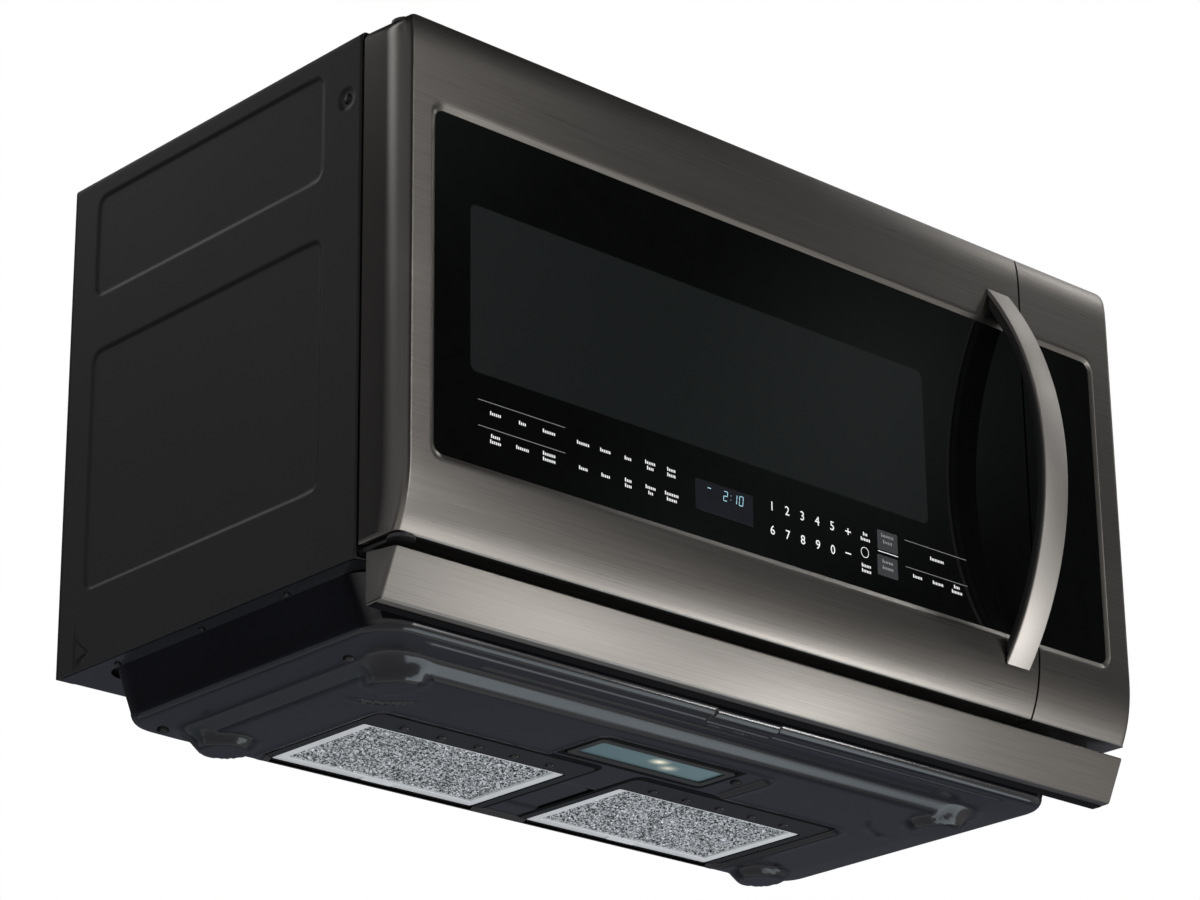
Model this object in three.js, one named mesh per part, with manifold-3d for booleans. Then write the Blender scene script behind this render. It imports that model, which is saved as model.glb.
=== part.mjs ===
// Over-the-range microwave with an extractor underneath.
// Millimetres, +Z up. The rear face is the plane Y = 0 and the door faces -Y.
// Z = 0 is the lower edge of the door and X = 0 is the middle of the cabinet.
import * as THREE from 'three';
import { mergeVertices } from 'three/addons/utils/BufferGeometryUtils.js';
import Module from 'manifold-3d';

const wasm = await Module();
wasm.setup();

// ---------------------------------------------------------------- driving dimensions
const WIDTH = 759;
const CABINET_DEPTH = 352;
const CABINET_TOP = 395;
const CABINET_BOTTOM = -8;
const SHEET = 1.5; // folded steel of the cabinet
const PRESSING_DEPTH = 1.3; // depth of the panels pressed into the sides and the back
const CORNER_RADIUS = 4; // fold along the cabinet's top edges
const FIT = 0.3; // clearance between pieces that seat on each other
const PLAY = 1; // clearance round a piece that drops in or turns

const DOOR_GAP = 3; // dark gap between the cabinet and the door
const DOOR_DEPTH = 50;
const DOOR_HEIGHT = 392;
const DOOR_CROWN = 3; // rise of the top face from the front ridge to the back
const DOOR_CHIN_HEIGHT = 55; // lower part of the face that curves back
const DOOR_CHIN_DEPTH = 12;
const DOOR_BROW_HEIGHT = 25; // upper part of the face that curves back
const DOOR_BROW_DEPTH = 3;
const DOOR_EDGE_RADIUS = 4; // vertical outer edges of door and side panel
const DOOR_SKIN = 2;
const SIDE_PANEL_WIDTH = 112; // from the middle of the seam to the cabinet's side
const SEAM_GAP = 2;

const GLASS_BOTTOM = 60;
const GLASS_HEIGHT = 262;
const GLASS_SIDE_MARGIN = 25.5; // stile left and right of the dark glass
const GLASS_STILE_RIGHT = 28.5;
const GLASS_CORNER = 8;
const GLASS_RECESS = 1.5;
const GLASS_THICKNESS = 4;
const BEVEL = 4; // bright bevel round the glass

const WINDOW_SIDE_MARGIN = 58.5; // from the door's outer edge
const WINDOW_WIDTH = 467;
const WINDOW_BOTTOM = 130;
const WINDOW_HEIGHT = 128;

const BAY_WIDTH = 164.5; // component bay right of the cavity
const CAVITY_HEIGHT = 255;
const CAVITY_DEPTH = 328;
const CAVITY_FLOOR = 40;
const CAVITY_SHEET = 1.2;
const CAVITY_RADIUS = 12;
const CAVITY_SIDE_AIR = 33; // air passage between the cavity and the left side
const CHASSIS_LEVEL = 8; // underside of the chassis plate

const HANDLE_WIDTH = 26.6;
const HANDLE_INSET = 26; // from the seam to the handle's middle
const HANDLE_LENGTH = 320;
const HANDLE_REACH = 51;
const HANDLE_STRAP = 3.5;
const HANDLE_LINER = 6.5;
const HANDLE_MID_Z = 194;

const HINGE_X_INSET = 11; // pivot to the door's outer edge
const HINGE_Y_INSET = 32; // pivot to the door's back
const HINGE_PIN_RADIUS = 3;
const HINGE_PIN_LENGTH = 12;
const HINGE_TONGUE = 2.5; // thickness of each hinge tongue
const HINGE_TONGUE_WIDTH = 20;
const HINGE_ARM_SIDE = 6; // pivot to the arm's outer side, clear of the door's skin at full swing
const HINGE_LEG_HEIGHT = 40;

const VENT_BAR_TOP = -9.5;
const VENT_BAR_HEIGHT = 34.5;
const VENT_BAR_SETBACK = 12.6; // top front edge behind the door face
const VENT_BAR_SLOPE = 16; // how far the bar's face leans back
const VENT_BAR_BACK = 45.5; // back of the bar behind the door face
const VENT_BAR_WALL = 1.5;
const VENT_BAR_SIDE = 2.5; // the bar is this much narrower on each side
const VISOR_TOP = -13;
const VISOR_HEIGHT = 14;
const VISOR_SIDE_AIR = 49.5; // from the cabinet's side to the visor
const VISOR_LENGTH = 168;
const VISOR_WALL = 2;
const VISOR_SLOTS = 6;
const RAIL_WIDTH = 10;
const RAIL_TONGUE = 4;

const PAN_INSET = 16; // top of the pan's wall inside the cabinet side
const PAN_DRAFT = 12.5; // how far each side wall leans in
const PAN_RIM_Z = -46;
const PAN_FLOOR_Z = -56;
const PAN_RIM_SIDE = 36;
const PAN_RIM_FRONT = 38;
const PAN_RIM_REAR = 14;
const PAN_SLOPE = 14;
const PAN_CURL = 9; // from the wall's foot round to the rim
const PAN_BOSS_Z = -62;
const PAN_BOSS_INSET = 107.5; // from the cabinet's side
const PAN_BOSS_FRONT_Y = -252;
const PAN_BOSS_REAR_Y = -72;
const PAN_BOSS_RADIUS = 20;
const PAN_BOSS_SPREAD = 40; // radius where a boss meets the rim
const PAN_REAR_Y = -34; // the pan ends short of the wall
const PAN_SCREW_INSET = 61.5; // from the cabinet's side
const RECESS_DEPTH = 3; // sunk field round the filters and the lamp
const RECESS_SIDE = 15; // beside the filters
const RECESS_FRONT = 38; // ahead of the filters
const RECESS_CORNER = 12;
const PAN_FRONT_LIP = -31; // top of the pan's front wall, under the visor

const FILTER_WIDTH = 198;
const FILTER_DEPTH = 111;
const FILTER_HEIGHT = 9;
const FILTER_GAP = 58; // between the two filters
const FILTER_REAR_Y = -65;
const FILTER_FACE_Z = -53;
const FILTER_BORDER = 9;
const FILTER_MESH = 5;

const LAMP_WIDTH = 140;
const LAMP_DEPTH = 42;
const LAMP_REAR_Y = -222;
const LAMP_BORDER = 6;
const LAMP_RECESS_LEFT = 9; // sunk field beside the lamp cover
const LAMP_RECESS_RIGHT = 31;
const LAMP_RECESS_FRONT = 12;
const LAMP_COVER = 4;
const LAMP_BOX_HEIGHT = 20;

const TRAY_RADIUS = 155;
const TRAY_THICKNESS = 5;
const TRAY_RIM = 12;
const ROLLER_RADIUS = 8;
const ROLLER_WIDTH = 9;
const ROLLER_TRACK = 112; // radius at which the rollers run
const ROLLER_COUNT = 3;
const ROLLER_PIN = 2.5;
const RING_BAR = 5;
const HUB_RADIUS = 14;
const HUB_SHAFT = 4;
const MOTOR_RADIUS = 28;

const DUCT_WIDTH = 254; // exhaust opening in the top
const DUCT_DEPTH = 83;
const DUCT_REAR_Y = -12;
const BLOWER_RADIUS = 36;
const BLOWER_LENGTH = 76;
const BLOWER_BLADES = 20;
const BLOWER_Z = 341;
const BLOWER_Y = -62;
const BLOWER_WALL = 2;
const BLOWER_MOTOR_LENGTH = 58;
const SCROLL_GAP = 4; // tightest gap between wheel and scroll
const SCROLL_GROWTH = 6; // how far the scroll opens before its outlet

const GRILLE_WIDTH = 600;
const GRILLE_DEPTH = 36;
const GRILLE_BARS = 4;

const LATCH_OFFSET = 22; // from the cavity's right wall
const LATCH_BAR = 8;
const LATCH_DROP = 242; // from the door's top to the lower hook
const LATCH_SPAN = 136; // between the two hooks
const LATCH_HOOK_HEIGHT = 12;
const LATCH_HOOK_REACH = 17; // how far a hook reaches behind the door
const LATCH_TRAVEL = 4;

// ---------------------------------------------------------------- places worked out from them
const HALF = WIDTH / 2;
const INNER = HALF - SHEET - FIT; // half width of what fits between the cabinet sides
const CABINET_FRONT = -CABINET_DEPTH;
const INNER_PRESSED = INNER - PRESSING_DEPTH; // beside the inward bulges of the pressed sides
const BEHIND_FRONT = CABINET_FRONT + SHEET + FIT; // just behind the front plate
const DOOR_BACK = CABINET_FRONT - DOOR_GAP;
const SEAM_X = HALF - SIDE_PANEL_WIDTH; // joint between the door and the fixed side panel
const HANDLE_CENTRE_X = SEAM_X - HANDLE_INSET;
const VISOR_WIDTH = WIDTH - 2 * VISOR_SIDE_AIR;
const DOOR_FACE = DOOR_BACK - DOOR_DEPTH;
const UNDER_TOP = CABINET_TOP - SHEET - FIT;
const OVER_FLANGE = CABINET_BOTTOM + SHEET + FIT;
const GLASS_TOP = GLASS_BOTTOM + GLASS_HEIGHT;
const GLASS_FRONT = DOOR_FACE + GLASS_RECESS;
const GLASS_BACK = GLASS_FRONT + GLASS_THICKNESS;
const WINDOW_LEFT = -HALF + WINDOW_SIDE_MARGIN;
const WINDOW_RIGHT = WINDOW_LEFT + WINDOW_WIDTH;
const WINDOW_TOP = WINDOW_BOTTOM + WINDOW_HEIGHT;
const CAVITY_LEFT = -HALF + SHEET + CAVITY_SIDE_AIR;
const CAVITY_RIGHT = HALF - BAY_WIDTH;
const CAVITY_CENTRE = (CAVITY_LEFT + CAVITY_RIGHT) / 2;
const CAVITY_BACK = BEHIND_FRONT + CAVITY_DEPTH;
const CAVITY_CEILING = CAVITY_FLOOR + CAVITY_HEIGHT;
const CAVITY_ROOF = CAVITY_CEILING + CAVITY_SHEET;
const CAVITY_UNDERSIDE = CAVITY_FLOOR - CAVITY_SHEET;
const CAVITY_MID_Y = (BEHIND_FRONT + CAVITY_BACK) / 2;
const BAY_LEFT = CAVITY_RIGHT + CAVITY_SHEET + FIT; // component bay beside the cavity
const CHASSIS_TOP = CHASSIS_LEVEL + SHEET;
const BAY_FLOOR = CHASSIS_TOP + FIT;
const LATCH_X = CAVITY_RIGHT + LATCH_OFFSET;
const LATCH_LOW_Z = DOOR_HEIGHT - LATCH_DROP;
const HINGE_X = -HALF + HINGE_X_INSET;
const HINGE_Y = DOOR_BACK - HINGE_Y_INSET;
const HINGE_TONGUE_NOSE = HINGE_TONGUE_WIDTH / 2; // round nose of the tongue about the pivot
const HINGE_POCKET_Z = DOOR_HEIGHT - 3.5; // floor of the pocket that the upper tongue lies in
const PAN_TOP = CABINET_BOTTOM - FIT;
const PAN_BOSS_X = HALF - PAN_BOSS_INSET;
const RECESS_Z = PAN_FLOOR_Z + RECESS_DEPTH;
const VENT_BAR_BOTTOM = VENT_BAR_TOP - VENT_BAR_HEIGHT;
const TRAY_BOTTOM = CAVITY_FLOOR + 2 * ROLLER_RADIUS + 2 * FIT;
const DOOR_BOARD_Z = 94; // middle height of the keys and the display
const DOUBLE_CUT = 2; // how far a cutter runs past the sheet that it cuts

// ---------------------------------------------------------------- finishes
function finish(color, roughness, metalness) {
  return new THREE.MeshStandardMaterial({ color, roughness, metalness });
}
const LOOKS = {
  blackStainless: finish(0x5e5a56, 0.35, 0.9),
  handleSteel: finish(0x98928c, 0.3, 0.9),
  satinBlack: finish(0x141416, 0.45, 0.3),
  glossBlack: finish(0x15171c, 0.22, 0.3),
  blackGlass: finish(0x060807, 0.05, 0.1),
  galvanised: finish(0x9aa0a3, 0.5, 0.8),
  enamel: finish(0xb9bab6, 0.4, 0.2),
  blackPlastic: finish(0x111111, 0.55, 0),
  paleGrey: finish(0xb5b8b8, 0.45, 0.5),
  aluminium: finish(0xb0b3b5, 0.4, 0.9),
  lampGlass: finish(0x7fa3a6, 0.2, 0),
  clearGlass: finish(0xdfe9e6, 0.05, 0),
  darkSteel: finish(0x3b3c3f, 0.5, 0.8),
  circuitGreen: finish(0x1e5a34, 0.6, 0),
  mica: finish(0xc9bfae, 0.7, 0),
  white: finish(0xe9e9e4, 0.5, 0),
  springSteel: finish(0x8a8d90, 0.35, 0.9),
  carbon: finish(0x1b1b1b, 0.9, 0),
};

// ---------------------------------------------------------------- solids
const CUT_TOLERANCE = 1e-4;

function signedVolume(points, corners) {
  const [a, b, c] = [new THREE.Vector3(), new THREE.Vector3(), new THREE.Vector3()];
  let sum = 0;
  for (let i = 0; i < corners.length; i += 3) {
    a.fromArray(points, 3 * corners[i]);
    b.fromArray(points, 3 * corners[i + 1]);
    c.fromArray(points, 3 * corners[i + 2]);
    sum += a.dot(b.cross(c));
  }
  return sum / 6;
}

// A closed geometry as a solid with its faces outwards; slivers at poles are left out.
function toSolid(geometry) {
  const bare = geometry.index ? geometry.toNonIndexed() : geometry.clone();
  bare.deleteAttribute('normal');
  bare.deleteAttribute('uv');
  const merged = mergeVertices(bare, CUT_TOLERANCE);
  const index = merged.index.array;
  const corners = [];
  for (let i = 0; i < index.length; i += 3) {
    const [p, q, r] = [index[i], index[i + 1], index[i + 2]];
    if (p !== q && q !== r && r !== p) corners.push(p, q, r);
  }
  const vertProperties = new Float32Array(merged.attributes.position.array);
  if (signedVolume(vertProperties, corners) < 0) corners.reverse();
  const triVerts = new Uint32Array(corners);
  return new wasm.Manifold(new wasm.Mesh({ numProp: 3, vertProperties, triVerts }));
}

const join = (...solids) => solids.flat().reduce((all, next) => all.add(next));
const cut = (solid, ...cutters) => cutters.flat().reduce((left, cutter) => left.subtract(cutter), solid);

function piece(name, solid, material) {
  const { vertProperties, triVerts } = solid.getMesh();
  const geometry = new THREE.BufferGeometry();
  geometry.setAttribute('position', new THREE.BufferAttribute(vertProperties, 3));
  geometry.setIndex(new THREE.BufferAttribute(triVerts, 1));
  geometry.computeVertexNormals();
  const mesh = new THREE.Mesh(geometry, material);
  mesh.name = name;
  return mesh;
}

// The three ways to extrude: a shape's own two axes are the two that are left, in X, Y, Z order.
const UNIT = { x: new THREE.Vector3(1, 0, 0), y: new THREE.Vector3(0, 1, 0), z: new THREE.Vector3(0, 0, 1) };

// An arc is drawn with twice curveSegments chords, so the count that is asked for is halved.
function extrude(shape, length, chords, basis, shift) {
  const curveSegments = Math.ceil(chords / 2);
  const geometry = new THREE.ExtrudeGeometry(shape, { depth: length, bevelEnabled: false, curveSegments });
  geometry.applyMatrix4(basis);
  geometry.translate(...shift);
  return toSolid(geometry);
}
function alongX(shape, [x0, x1], chords = 4) {
  const basis = new THREE.Matrix4().makeBasis(UNIT.y, UNIT.z, UNIT.x);
  return extrude(shape, x1 - x0, chords, basis, [x0, 0, 0]);
}
function alongY(shape, [y0, y1], chords = 4) {
  const basis = new THREE.Matrix4().makeBasis(UNIT.x, UNIT.z, UNIT.y.clone().negate());
  return extrude(shape, y1 - y0, chords, basis, [0, y1, 0]);
}
function alongZ(shape, [z0, z1], chords = 4) {
  return extrude(shape, z1 - z0, chords, new THREE.Matrix4(), [0, 0, z0]);
}

function block([x0, x1], [y0, y1], [z0, z1]) {
  const geometry = new THREE.BoxGeometry(x1 - x0, y1 - y0, z1 - z0);
  geometry.translate((x0 + x1) / 2, (y0 + y1) / 2, (z0 + z1) / 2);
  return toSolid(geometry);
}

const around = (centre, size) => [centre - size / 2, centre + size / 2];

function roundedOutline([a0, a1], [b0, b1], radius) {
  const shape = new THREE.Shape();
  shape.absarc(a1 - radius, b0 + radius, radius, -Math.PI / 2, 0);
  shape.absarc(a1 - radius, b1 - radius, radius, 0, Math.PI / 2);
  shape.absarc(a0 + radius, b1 - radius, radius, Math.PI / 2, Math.PI);
  shape.absarc(a0 + radius, b0 + radius, radius, Math.PI, 1.5 * Math.PI);
  return shape;
}

// A full circle; the chords asked for when it is extruded go all the way round.
function disc(a, b, radius) {
  return new THREE.Shape().absarc(a, b, radius, 0, 2 * Math.PI);
}

function polygon(points) {
  return new THREE.Shape(points.map(([a, b]) => new THREE.Vector2(a, b)));
}

// A profile of [radius, height] points turned about a vertical axis through (x, y).
function turned(profile, [x, y], segments) {
  const points = profile.map(([radius, height]) => new THREE.Vector2(radius, height));
  const geometry = new THREE.LatheGeometry(points, segments);
  geometry.rotateX(Math.PI / 2);
  geometry.translate(x, y, 0);
  return toSolid(geometry);
}

// A closed skin through rings of equally many points, with flat caps at both ends.
function loft(rings) {
  const count = rings[0].length;
  const positions = rings.flat().flatMap((point) => point.toArray());
  const index = [];
  for (let ring = 0; ring + 1 < rings.length; ring += 1) {
    for (let i = 0; i < count; i += 1) {
      const j = (i + 1) % count;
      const [low, high] = [ring * count, (ring + 1) * count];
      index.push(low + i, low + j, high + j, low + i, high + j, high + i);
    }
  }
  [0, rings.length - 1].forEach((ring) => {
    const middle = positions.length / 3;
    const centre = new THREE.Vector3();
    rings[ring].forEach((point) => centre.addScaledVector(point, 1 / count));
    positions.push(...centre.toArray());
    for (let i = 0; i < count; i += 1) {
      const [a, b] = [ring * count + i, ring * count + ((i + 1) % count)];
      index.push(...(ring === 0 ? [middle, b, a] : [middle, a, b]));
    }
  });
  const geometry = new THREE.BufferGeometry();
  geometry.setAttribute('position', new THREE.Float32BufferAttribute(positions, 3));
  geometry.setIndex(index);
  return toSolid(geometry);
}

const PLACERS = {
  x: (a, b, level) => new THREE.Vector3(level, a, b),
  y: (a, b, level) => new THREE.Vector3(a, level, b),
  z: (a, b, level) => new THREE.Vector3(a, b, level),
};

function ring(axis, shape, level, chords = 2) {
  const { shape: outline } = shape.extractPoints(Math.ceil(chords / 2));
  return outline.map((point) => PLACERS[axis](point.x, point.y, level));
}

const grown = ([low, high], by) => [low - by, high + by];

// A shallow pressed pocket with sloping edges: its cutter, from the sheet's face inwards.
function pressing(axis, spanA, spanB, radius, face, depth) {
  const outwards = -Math.sign(depth) * 0.5;
  const slope = Math.abs(depth);
  return loft([
    ring(axis, roundedOutline(grown(spanA, slope / 2), grown(spanB, slope / 2), radius), face + outwards),
    ring(axis, roundedOutline(spanA, spanB, radius), face),
    ring(axis, roundedOutline(grown(spanA, -slope), grown(spanB, -slope), radius), face + depth),
  ]);
}

// The sheet pushed in by a pressing: pocket on one face, the same bulge on the other.
function pressed(solid, cutter, shift) {
  return solid.add(cutter.translate(shift)).subtract(cutter);
}

// ---------------------------------------------------------------- cabinet shell
function outerWrap() {
  const span = [CABINET_FRONT, 0];
  const outside = roundedOutline([-HALF, HALF], [CABINET_BOTTOM, CABINET_TOP], CORNER_RADIUS);
  const inside = roundedOutline(
    grown([-HALF, HALF], -SHEET), [CABINET_BOTTOM + SHEET, CABINET_TOP - SHEET], CORNER_RADIUS - SHEET);
  let wrap = alongY(outside, span).subtract(alongY(inside, grown(span, DOUBLE_CUT)));
  wrap = wrap.subtract(block(
    grown([-HALF, HALF], -PAN_INSET), grown(span, DOUBLE_CUT), around(CABINET_BOTTOM, 10)));
  const pressSpan = [CABINET_FRONT + 44, -31];
  const heights = [[CABINET_TOP - 102, CABINET_TOP - 18], [CABINET_BOTTOM + 62, CABINET_TOP - 149]];
  const screw = [CABINET_FRONT + 17, CABINET_TOP - 48];
  [-1, 1].forEach((side) => {
    const face = side * HALF;
    heights.forEach((z) => {
      const cutter = pressing('x', pressSpan, z, 10, face, -side * PRESSING_DEPTH);
      wrap = pressed(wrap, cutter, [-side * SHEET, 0, 0]);
    });
    const dimple = pressing(
      'x', around(screw[0], 16), around(screw[1], 16), 7.5, face, -side * PRESSING_DEPTH);
    wrap = pressed(wrap, dimple, [-side * SHEET, 0, 0]);
    const head = face - side * PRESSING_DEPTH;
    const headSpan = [head, head + side].sort((a, b) => a - b);
    wrap = wrap.add(alongX(disc(...screw, 4), headSpan, 12));
    const triangle = polygon([[-17, 20], [-36, 3], [-17, -4]]);
    wrap = wrap.subtract(alongX(triangle, around(face, 1.2)));
  });
  const duct = block(around(0, DUCT_WIDTH), [DUCT_REAR_Y - DUCT_DEPTH, DUCT_REAR_Y], around(CABINET_TOP, 20));
  const grille = block(around(0, GRILLE_WIDTH), grillePlaces().opening, around(CABINET_TOP, 20));
  const gland = alongZ(disc(GLAND_X, GLAND_Y, GLAND_RADIUS), around(CABINET_TOP, 20), 20);
  return cut(wrap, duct, grille, gland);
}

function rearPanel() {
  const height = [OVER_FLANGE, UNDER_TOP];
  let panel = alongY(roundedOutline([-INNER, INNER], height, CORNER_RADIUS), [-SHEET, 0]);
  [[-HALF + 39.5, -30], [30, HALF - 39.5]].forEach((x) => {
    const cutter = pressing('y', x, [60, CABINET_TOP - 115], 14, 0, -PRESSING_DEPTH);
    panel = pressed(panel, cutter, [0, -SHEET, 0]);
  });
  const hooks = [-200, 200].map((x) => block(around(x, 40), around(0, 10), around(24, 8)));
  const tilt = pressing(
    'y', around(0, DUCT_WIDTH), [CABINET_TOP - 93, CABINET_TOP - 21], 6, 0, -PRESSING_DEPTH);
  return cut(pressed(panel, tilt, [0, -SHEET, 0]), hooks);
}

function latchSlots(reach) {
  return [LATCH_LOW_Z, LATCH_LOW_Z + LATCH_SPAN].map((z) => block(
    around(LATCH_X, LATCH_BAR + 2 * reach),
    around(DOOR_BACK, 60),
    [z - PLAY, z + LATCH_HOOK_HEIGHT + LATCH_TRAVEL + PLAY]));
}

function frontPlate() {
  const height = [OVER_FLANGE, UNDER_TOP];
  const plate = alongY(
    roundedOutline([-INNER, INNER], height, CORNER_RADIUS), [CABINET_FRONT, CABINET_FRONT + SHEET]);
  const through = around(CABINET_FRONT, 10);
  const mouth = alongY(
    roundedOutline([CAVITY_LEFT, CAVITY_RIGHT], [CAVITY_FLOOR, CAVITY_CEILING], CAVITY_RADIUS), through);
  const tongue = grown([HINGE_X - HINGE_TONGUE_WIDTH / 2, HINGE_X + HINGE_TONGUE_WIDTH / 2], FIT);
  const upper = block(tongue, through, grown(upperTongue(), FIT));
  const lower = block(tongue, through, grown(lowerTongue(), FIT));
  return cut(plate, mouth, upper, lower, latchSlots(3));
}

function chassisPlate() {
  const span = [BEHIND_FRONT, -SHEET - FIT];
  const plate = block([-INNER, INNER], span, [CHASSIS_LEVEL, CHASSIS_TOP]);
  const flange = block([-INNER, INNER], [span[1] - SHEET, span[1]], [CHASSIS_LEVEL, CHASSIS_TOP + 12]);
  const leftAir = block(
    [-INNER + 8, CAVITY_LEFT - 2], [span[0] + 20, span[1] - 30], around(CHASSIS_LEVEL, 10));
  const rearAir = block([CAVITY_LEFT + 60, CAVITY_RIGHT - 60], [CAVITY_BACK - 50, CAVITY_BACK - 4],
    around(CHASSIS_LEVEL, 10));
  const saddles = [CAVITY_LEFT + 30, CAVITY_RIGHT - 50].map((x) => (
    block([x, x + 20], [CAVITY_MID_Y - 120, CAVITY_MID_Y + 100], [CHASSIS_LEVEL, CAVITY_UNDERSIDE - FIT])));
  return cut(join(plate, flange, saddles), leftAir, rearAir);
}

// ---------------------------------------------------------------- oven
const PORT_HEIGHT = [150, 215];
const PORT_DEPTH = [-262, -182]; // Y span of the microwave port in the right wall

function ovenCavity() {
  const inside = roundedOutline([CAVITY_LEFT, CAVITY_RIGHT], [CAVITY_FLOOR, CAVITY_CEILING], CAVITY_RADIUS);
  const outside = roundedOutline(
    grown([CAVITY_LEFT, CAVITY_RIGHT], CAVITY_SHEET), [CAVITY_UNDERSIDE, CAVITY_ROOF],
    CAVITY_RADIUS + CAVITY_SHEET);
  const body = alongY(outside, [BEHIND_FRONT, CAVITY_BACK + CAVITY_SHEET])
    .subtract(alongY(inside, [BEHIND_FRONT - DOUBLE_CUT, CAVITY_BACK]));
  const port = block(around(CAVITY_RIGHT, 10), PORT_DEPTH, PORT_HEIGHT);
  const shaft = alongZ(disc(CAVITY_CENTRE, CAVITY_MID_Y, HUB_SHAFT + PLAY), around(CAVITY_FLOOR, 10), 16);
  const vents = [];
  for (let i = 0; i < 7; i += 1) {
    const y = around(CAVITY_BACK - 40 - 14 * i, 5);
    vents.push(block(around(CAVITY_LEFT, 10), y, [CAVITY_CEILING - 60, CAVITY_CEILING - 25]));
  }
  return cut(body, port, shaft, vents);
}

function waveguideCover() {
  return block([CAVITY_RIGHT - FIT - 0.8, CAVITY_RIGHT - FIT], grown(PORT_DEPTH, 8), grown(PORT_HEIGHT, 8));
}

const GUIDE_WIDTH = 38;
const GUIDE_DEPTH = [PORT_DEPTH[0] - 4, -72];
const GUIDE_HEIGHT = grown(PORT_HEIGHT, 6);
const ANTENNA_Y = -112;
const ANTENNA_Z = (PORT_HEIGHT[0] + PORT_HEIGHT[1]) / 2;
const ANTENNA_RADIUS = 8;
const GUIDE_RIGHT = BAY_LEFT + GUIDE_WIDTH;

function waveguide() {
  const outer = block([BAY_LEFT, GUIDE_RIGHT], GUIDE_DEPTH, GUIDE_HEIGHT);
  const inner = block(
    [BAY_LEFT + CAVITY_SHEET, GUIDE_RIGHT - CAVITY_SHEET],
    grown(GUIDE_DEPTH, -CAVITY_SHEET), grown(GUIDE_HEIGHT, -CAVITY_SHEET));
  const mouth = block(around(BAY_LEFT, 10), PORT_DEPTH, PORT_HEIGHT);
  const antenna = alongX(disc(ANTENNA_Y, ANTENNA_Z, ANTENNA_RADIUS + PLAY), around(GUIDE_RIGHT, 10), 16);
  return cut(outer, inner, mouth, antenna);
}

function magnetron() {
  const left = GUIDE_RIGHT + FIT;
  const plate = block([left, left + 2], around(ANTENNA_Y, 96), around(ANTENNA_Z, 92));
  const core = alongX(disc(ANTENNA_Y, ANTENNA_Z, 20), [left, left + 74], 14);
  const antenna = alongX(disc(ANTENNA_Y, ANTENNA_Z, ANTENNA_RADIUS), [left - 22, left + 1], 12);
  const fins = [0, 1, 2, 3, 4, 5].map((i) => (
    block([left + 10 + 9 * i, left + 12 + 9 * i], around(ANTENNA_Y, 70), around(ANTENNA_Z, 88))));
  const yokes = [-1, 1].map((side) => (
    block([left + 1, left + 66], around(ANTENNA_Y, 80), around(ANTENNA_Z + side * 44.5, 3))));
  const filterBox = block([left + 64, left + 92], around(ANTENNA_Y, 50), around(ANTENNA_Z, 44));
  return join(plate, core, antenna, fins, yokes, filterBox);
}

function transformer() {
  const [x, y] = [HALF - 67.5, -288];
  const laminations = block(around(x, 92), around(y, 66), [BAY_FLOOR, BAY_FLOOR + 76]);
  const windows = [-1, 1].map((side) => (
    block(around(x + side * 23, 15), around(y, 80), [BAY_FLOOR + 18, BAY_FLOOR + 58])));
  const windings = [-1, 1].map((side) => alongZ(
    roundedOutline(around(x, 60), [y + side * 33 - 14, y + side * 33 + 14], 12),
    [BAY_FLOOR + 20, BAY_FLOOR + 56], 3));
  const feet = block(around(x, 118), around(y, 50), [BAY_FLOOR, BAY_FLOOR + 2]);
  return join(cut(laminations, windows), windings, feet);
}

function capacitor() {
  const [x, y] = [HALF - 61.5, -196];
  const can = alongZ(roundedOutline(around(x, 54), around(y, 34), 16.9), [BAY_FLOOR, BAY_FLOOR + 92], 6);
  const strap = alongZ(
    roundedOutline(around(x, 58), around(y, 38), 18.9), [BAY_FLOOR + 30, BAY_FLOOR + 46], 6);
  const foot = block(around(x, 84), around(y, 16), [BAY_FLOOR, BAY_FLOOR + 2]);
  const tabs = [-12, 12].map((dx) => (
    block(around(x + dx, 6), around(y, 1), [BAY_FLOOR + 90, BAY_FLOOR + 102])));
  return join(can, strap, foot, tabs);
}

function powerBoard() {
  const board = block([INNER_PRESSED - 10, INNER_PRESSED - 8.4], [-340, -210], [150, 330]);
  const legs = [-330, -220].flatMap((y) => [160, 320].map((z) => (
    alongX(disc(y, z, 4), [INNER_PRESSED - 9, INNER_PRESSED - FIT], 10))));
  const parts = [
    block([INNER_PRESSED - 34, INNER_PRESSED - 9], [-330, -296], [250, 300]),
    block([INNER_PRESSED - 28, INNER_PRESSED - 9], [-280, -262], [270, 292]),
    block([INNER_PRESSED - 28, INNER_PRESSED - 9], [-255, -237], [270, 292]),
    alongX(disc(-310, 200, 11), [INNER_PRESSED - 36, INNER_PRESSED - 9], 12),
    alongX(disc(-280, 200, 8), [INNER_PRESSED - 30, INNER_PRESSED - 9], 12),
    block([INNER_PRESSED - 20, INNER_PRESSED - 9], [-250, -222], [180, 230]),
  ];
  return join(board, legs, parts);
}

const FAN_RADIUS = 50;
const FAN_Z = 300;
const FAN_FRAME = [-62, -40]; // Y span of the fan frame
const FAN_X = INNER_PRESSED - FAN_RADIUS - 10;
const FAN_SHAFT = 3;

function fanShroud() {
  const frame = block(
    [FAN_X - FAN_RADIUS - 8, INNER_PRESSED - FIT], FAN_FRAME, around(FAN_Z, 2 * FAN_RADIUS + 18));
  const bore = alongY(disc(FAN_X, FAN_Z, FAN_RADIUS + 2), grown(FAN_FRAME, DOUBLE_CUT), 32);
  const struts = [0, 1].map((turn) => {
    const bar = block(around(0, 2 * FAN_RADIUS + 8), [FAN_FRAME[1] - 3, FAN_FRAME[1]], around(0, 6));
    return bar.rotate([0, 45 + 90 * turn, 0]).translate([FAN_X, 0, FAN_Z]);
  });
  const eye = alongY(disc(FAN_X, FAN_Z, FAN_SHAFT + FIT), grown(FAN_FRAME, 10), 12);
  return cut(join(cut(frame, bore), struts), eye);
}

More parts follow.
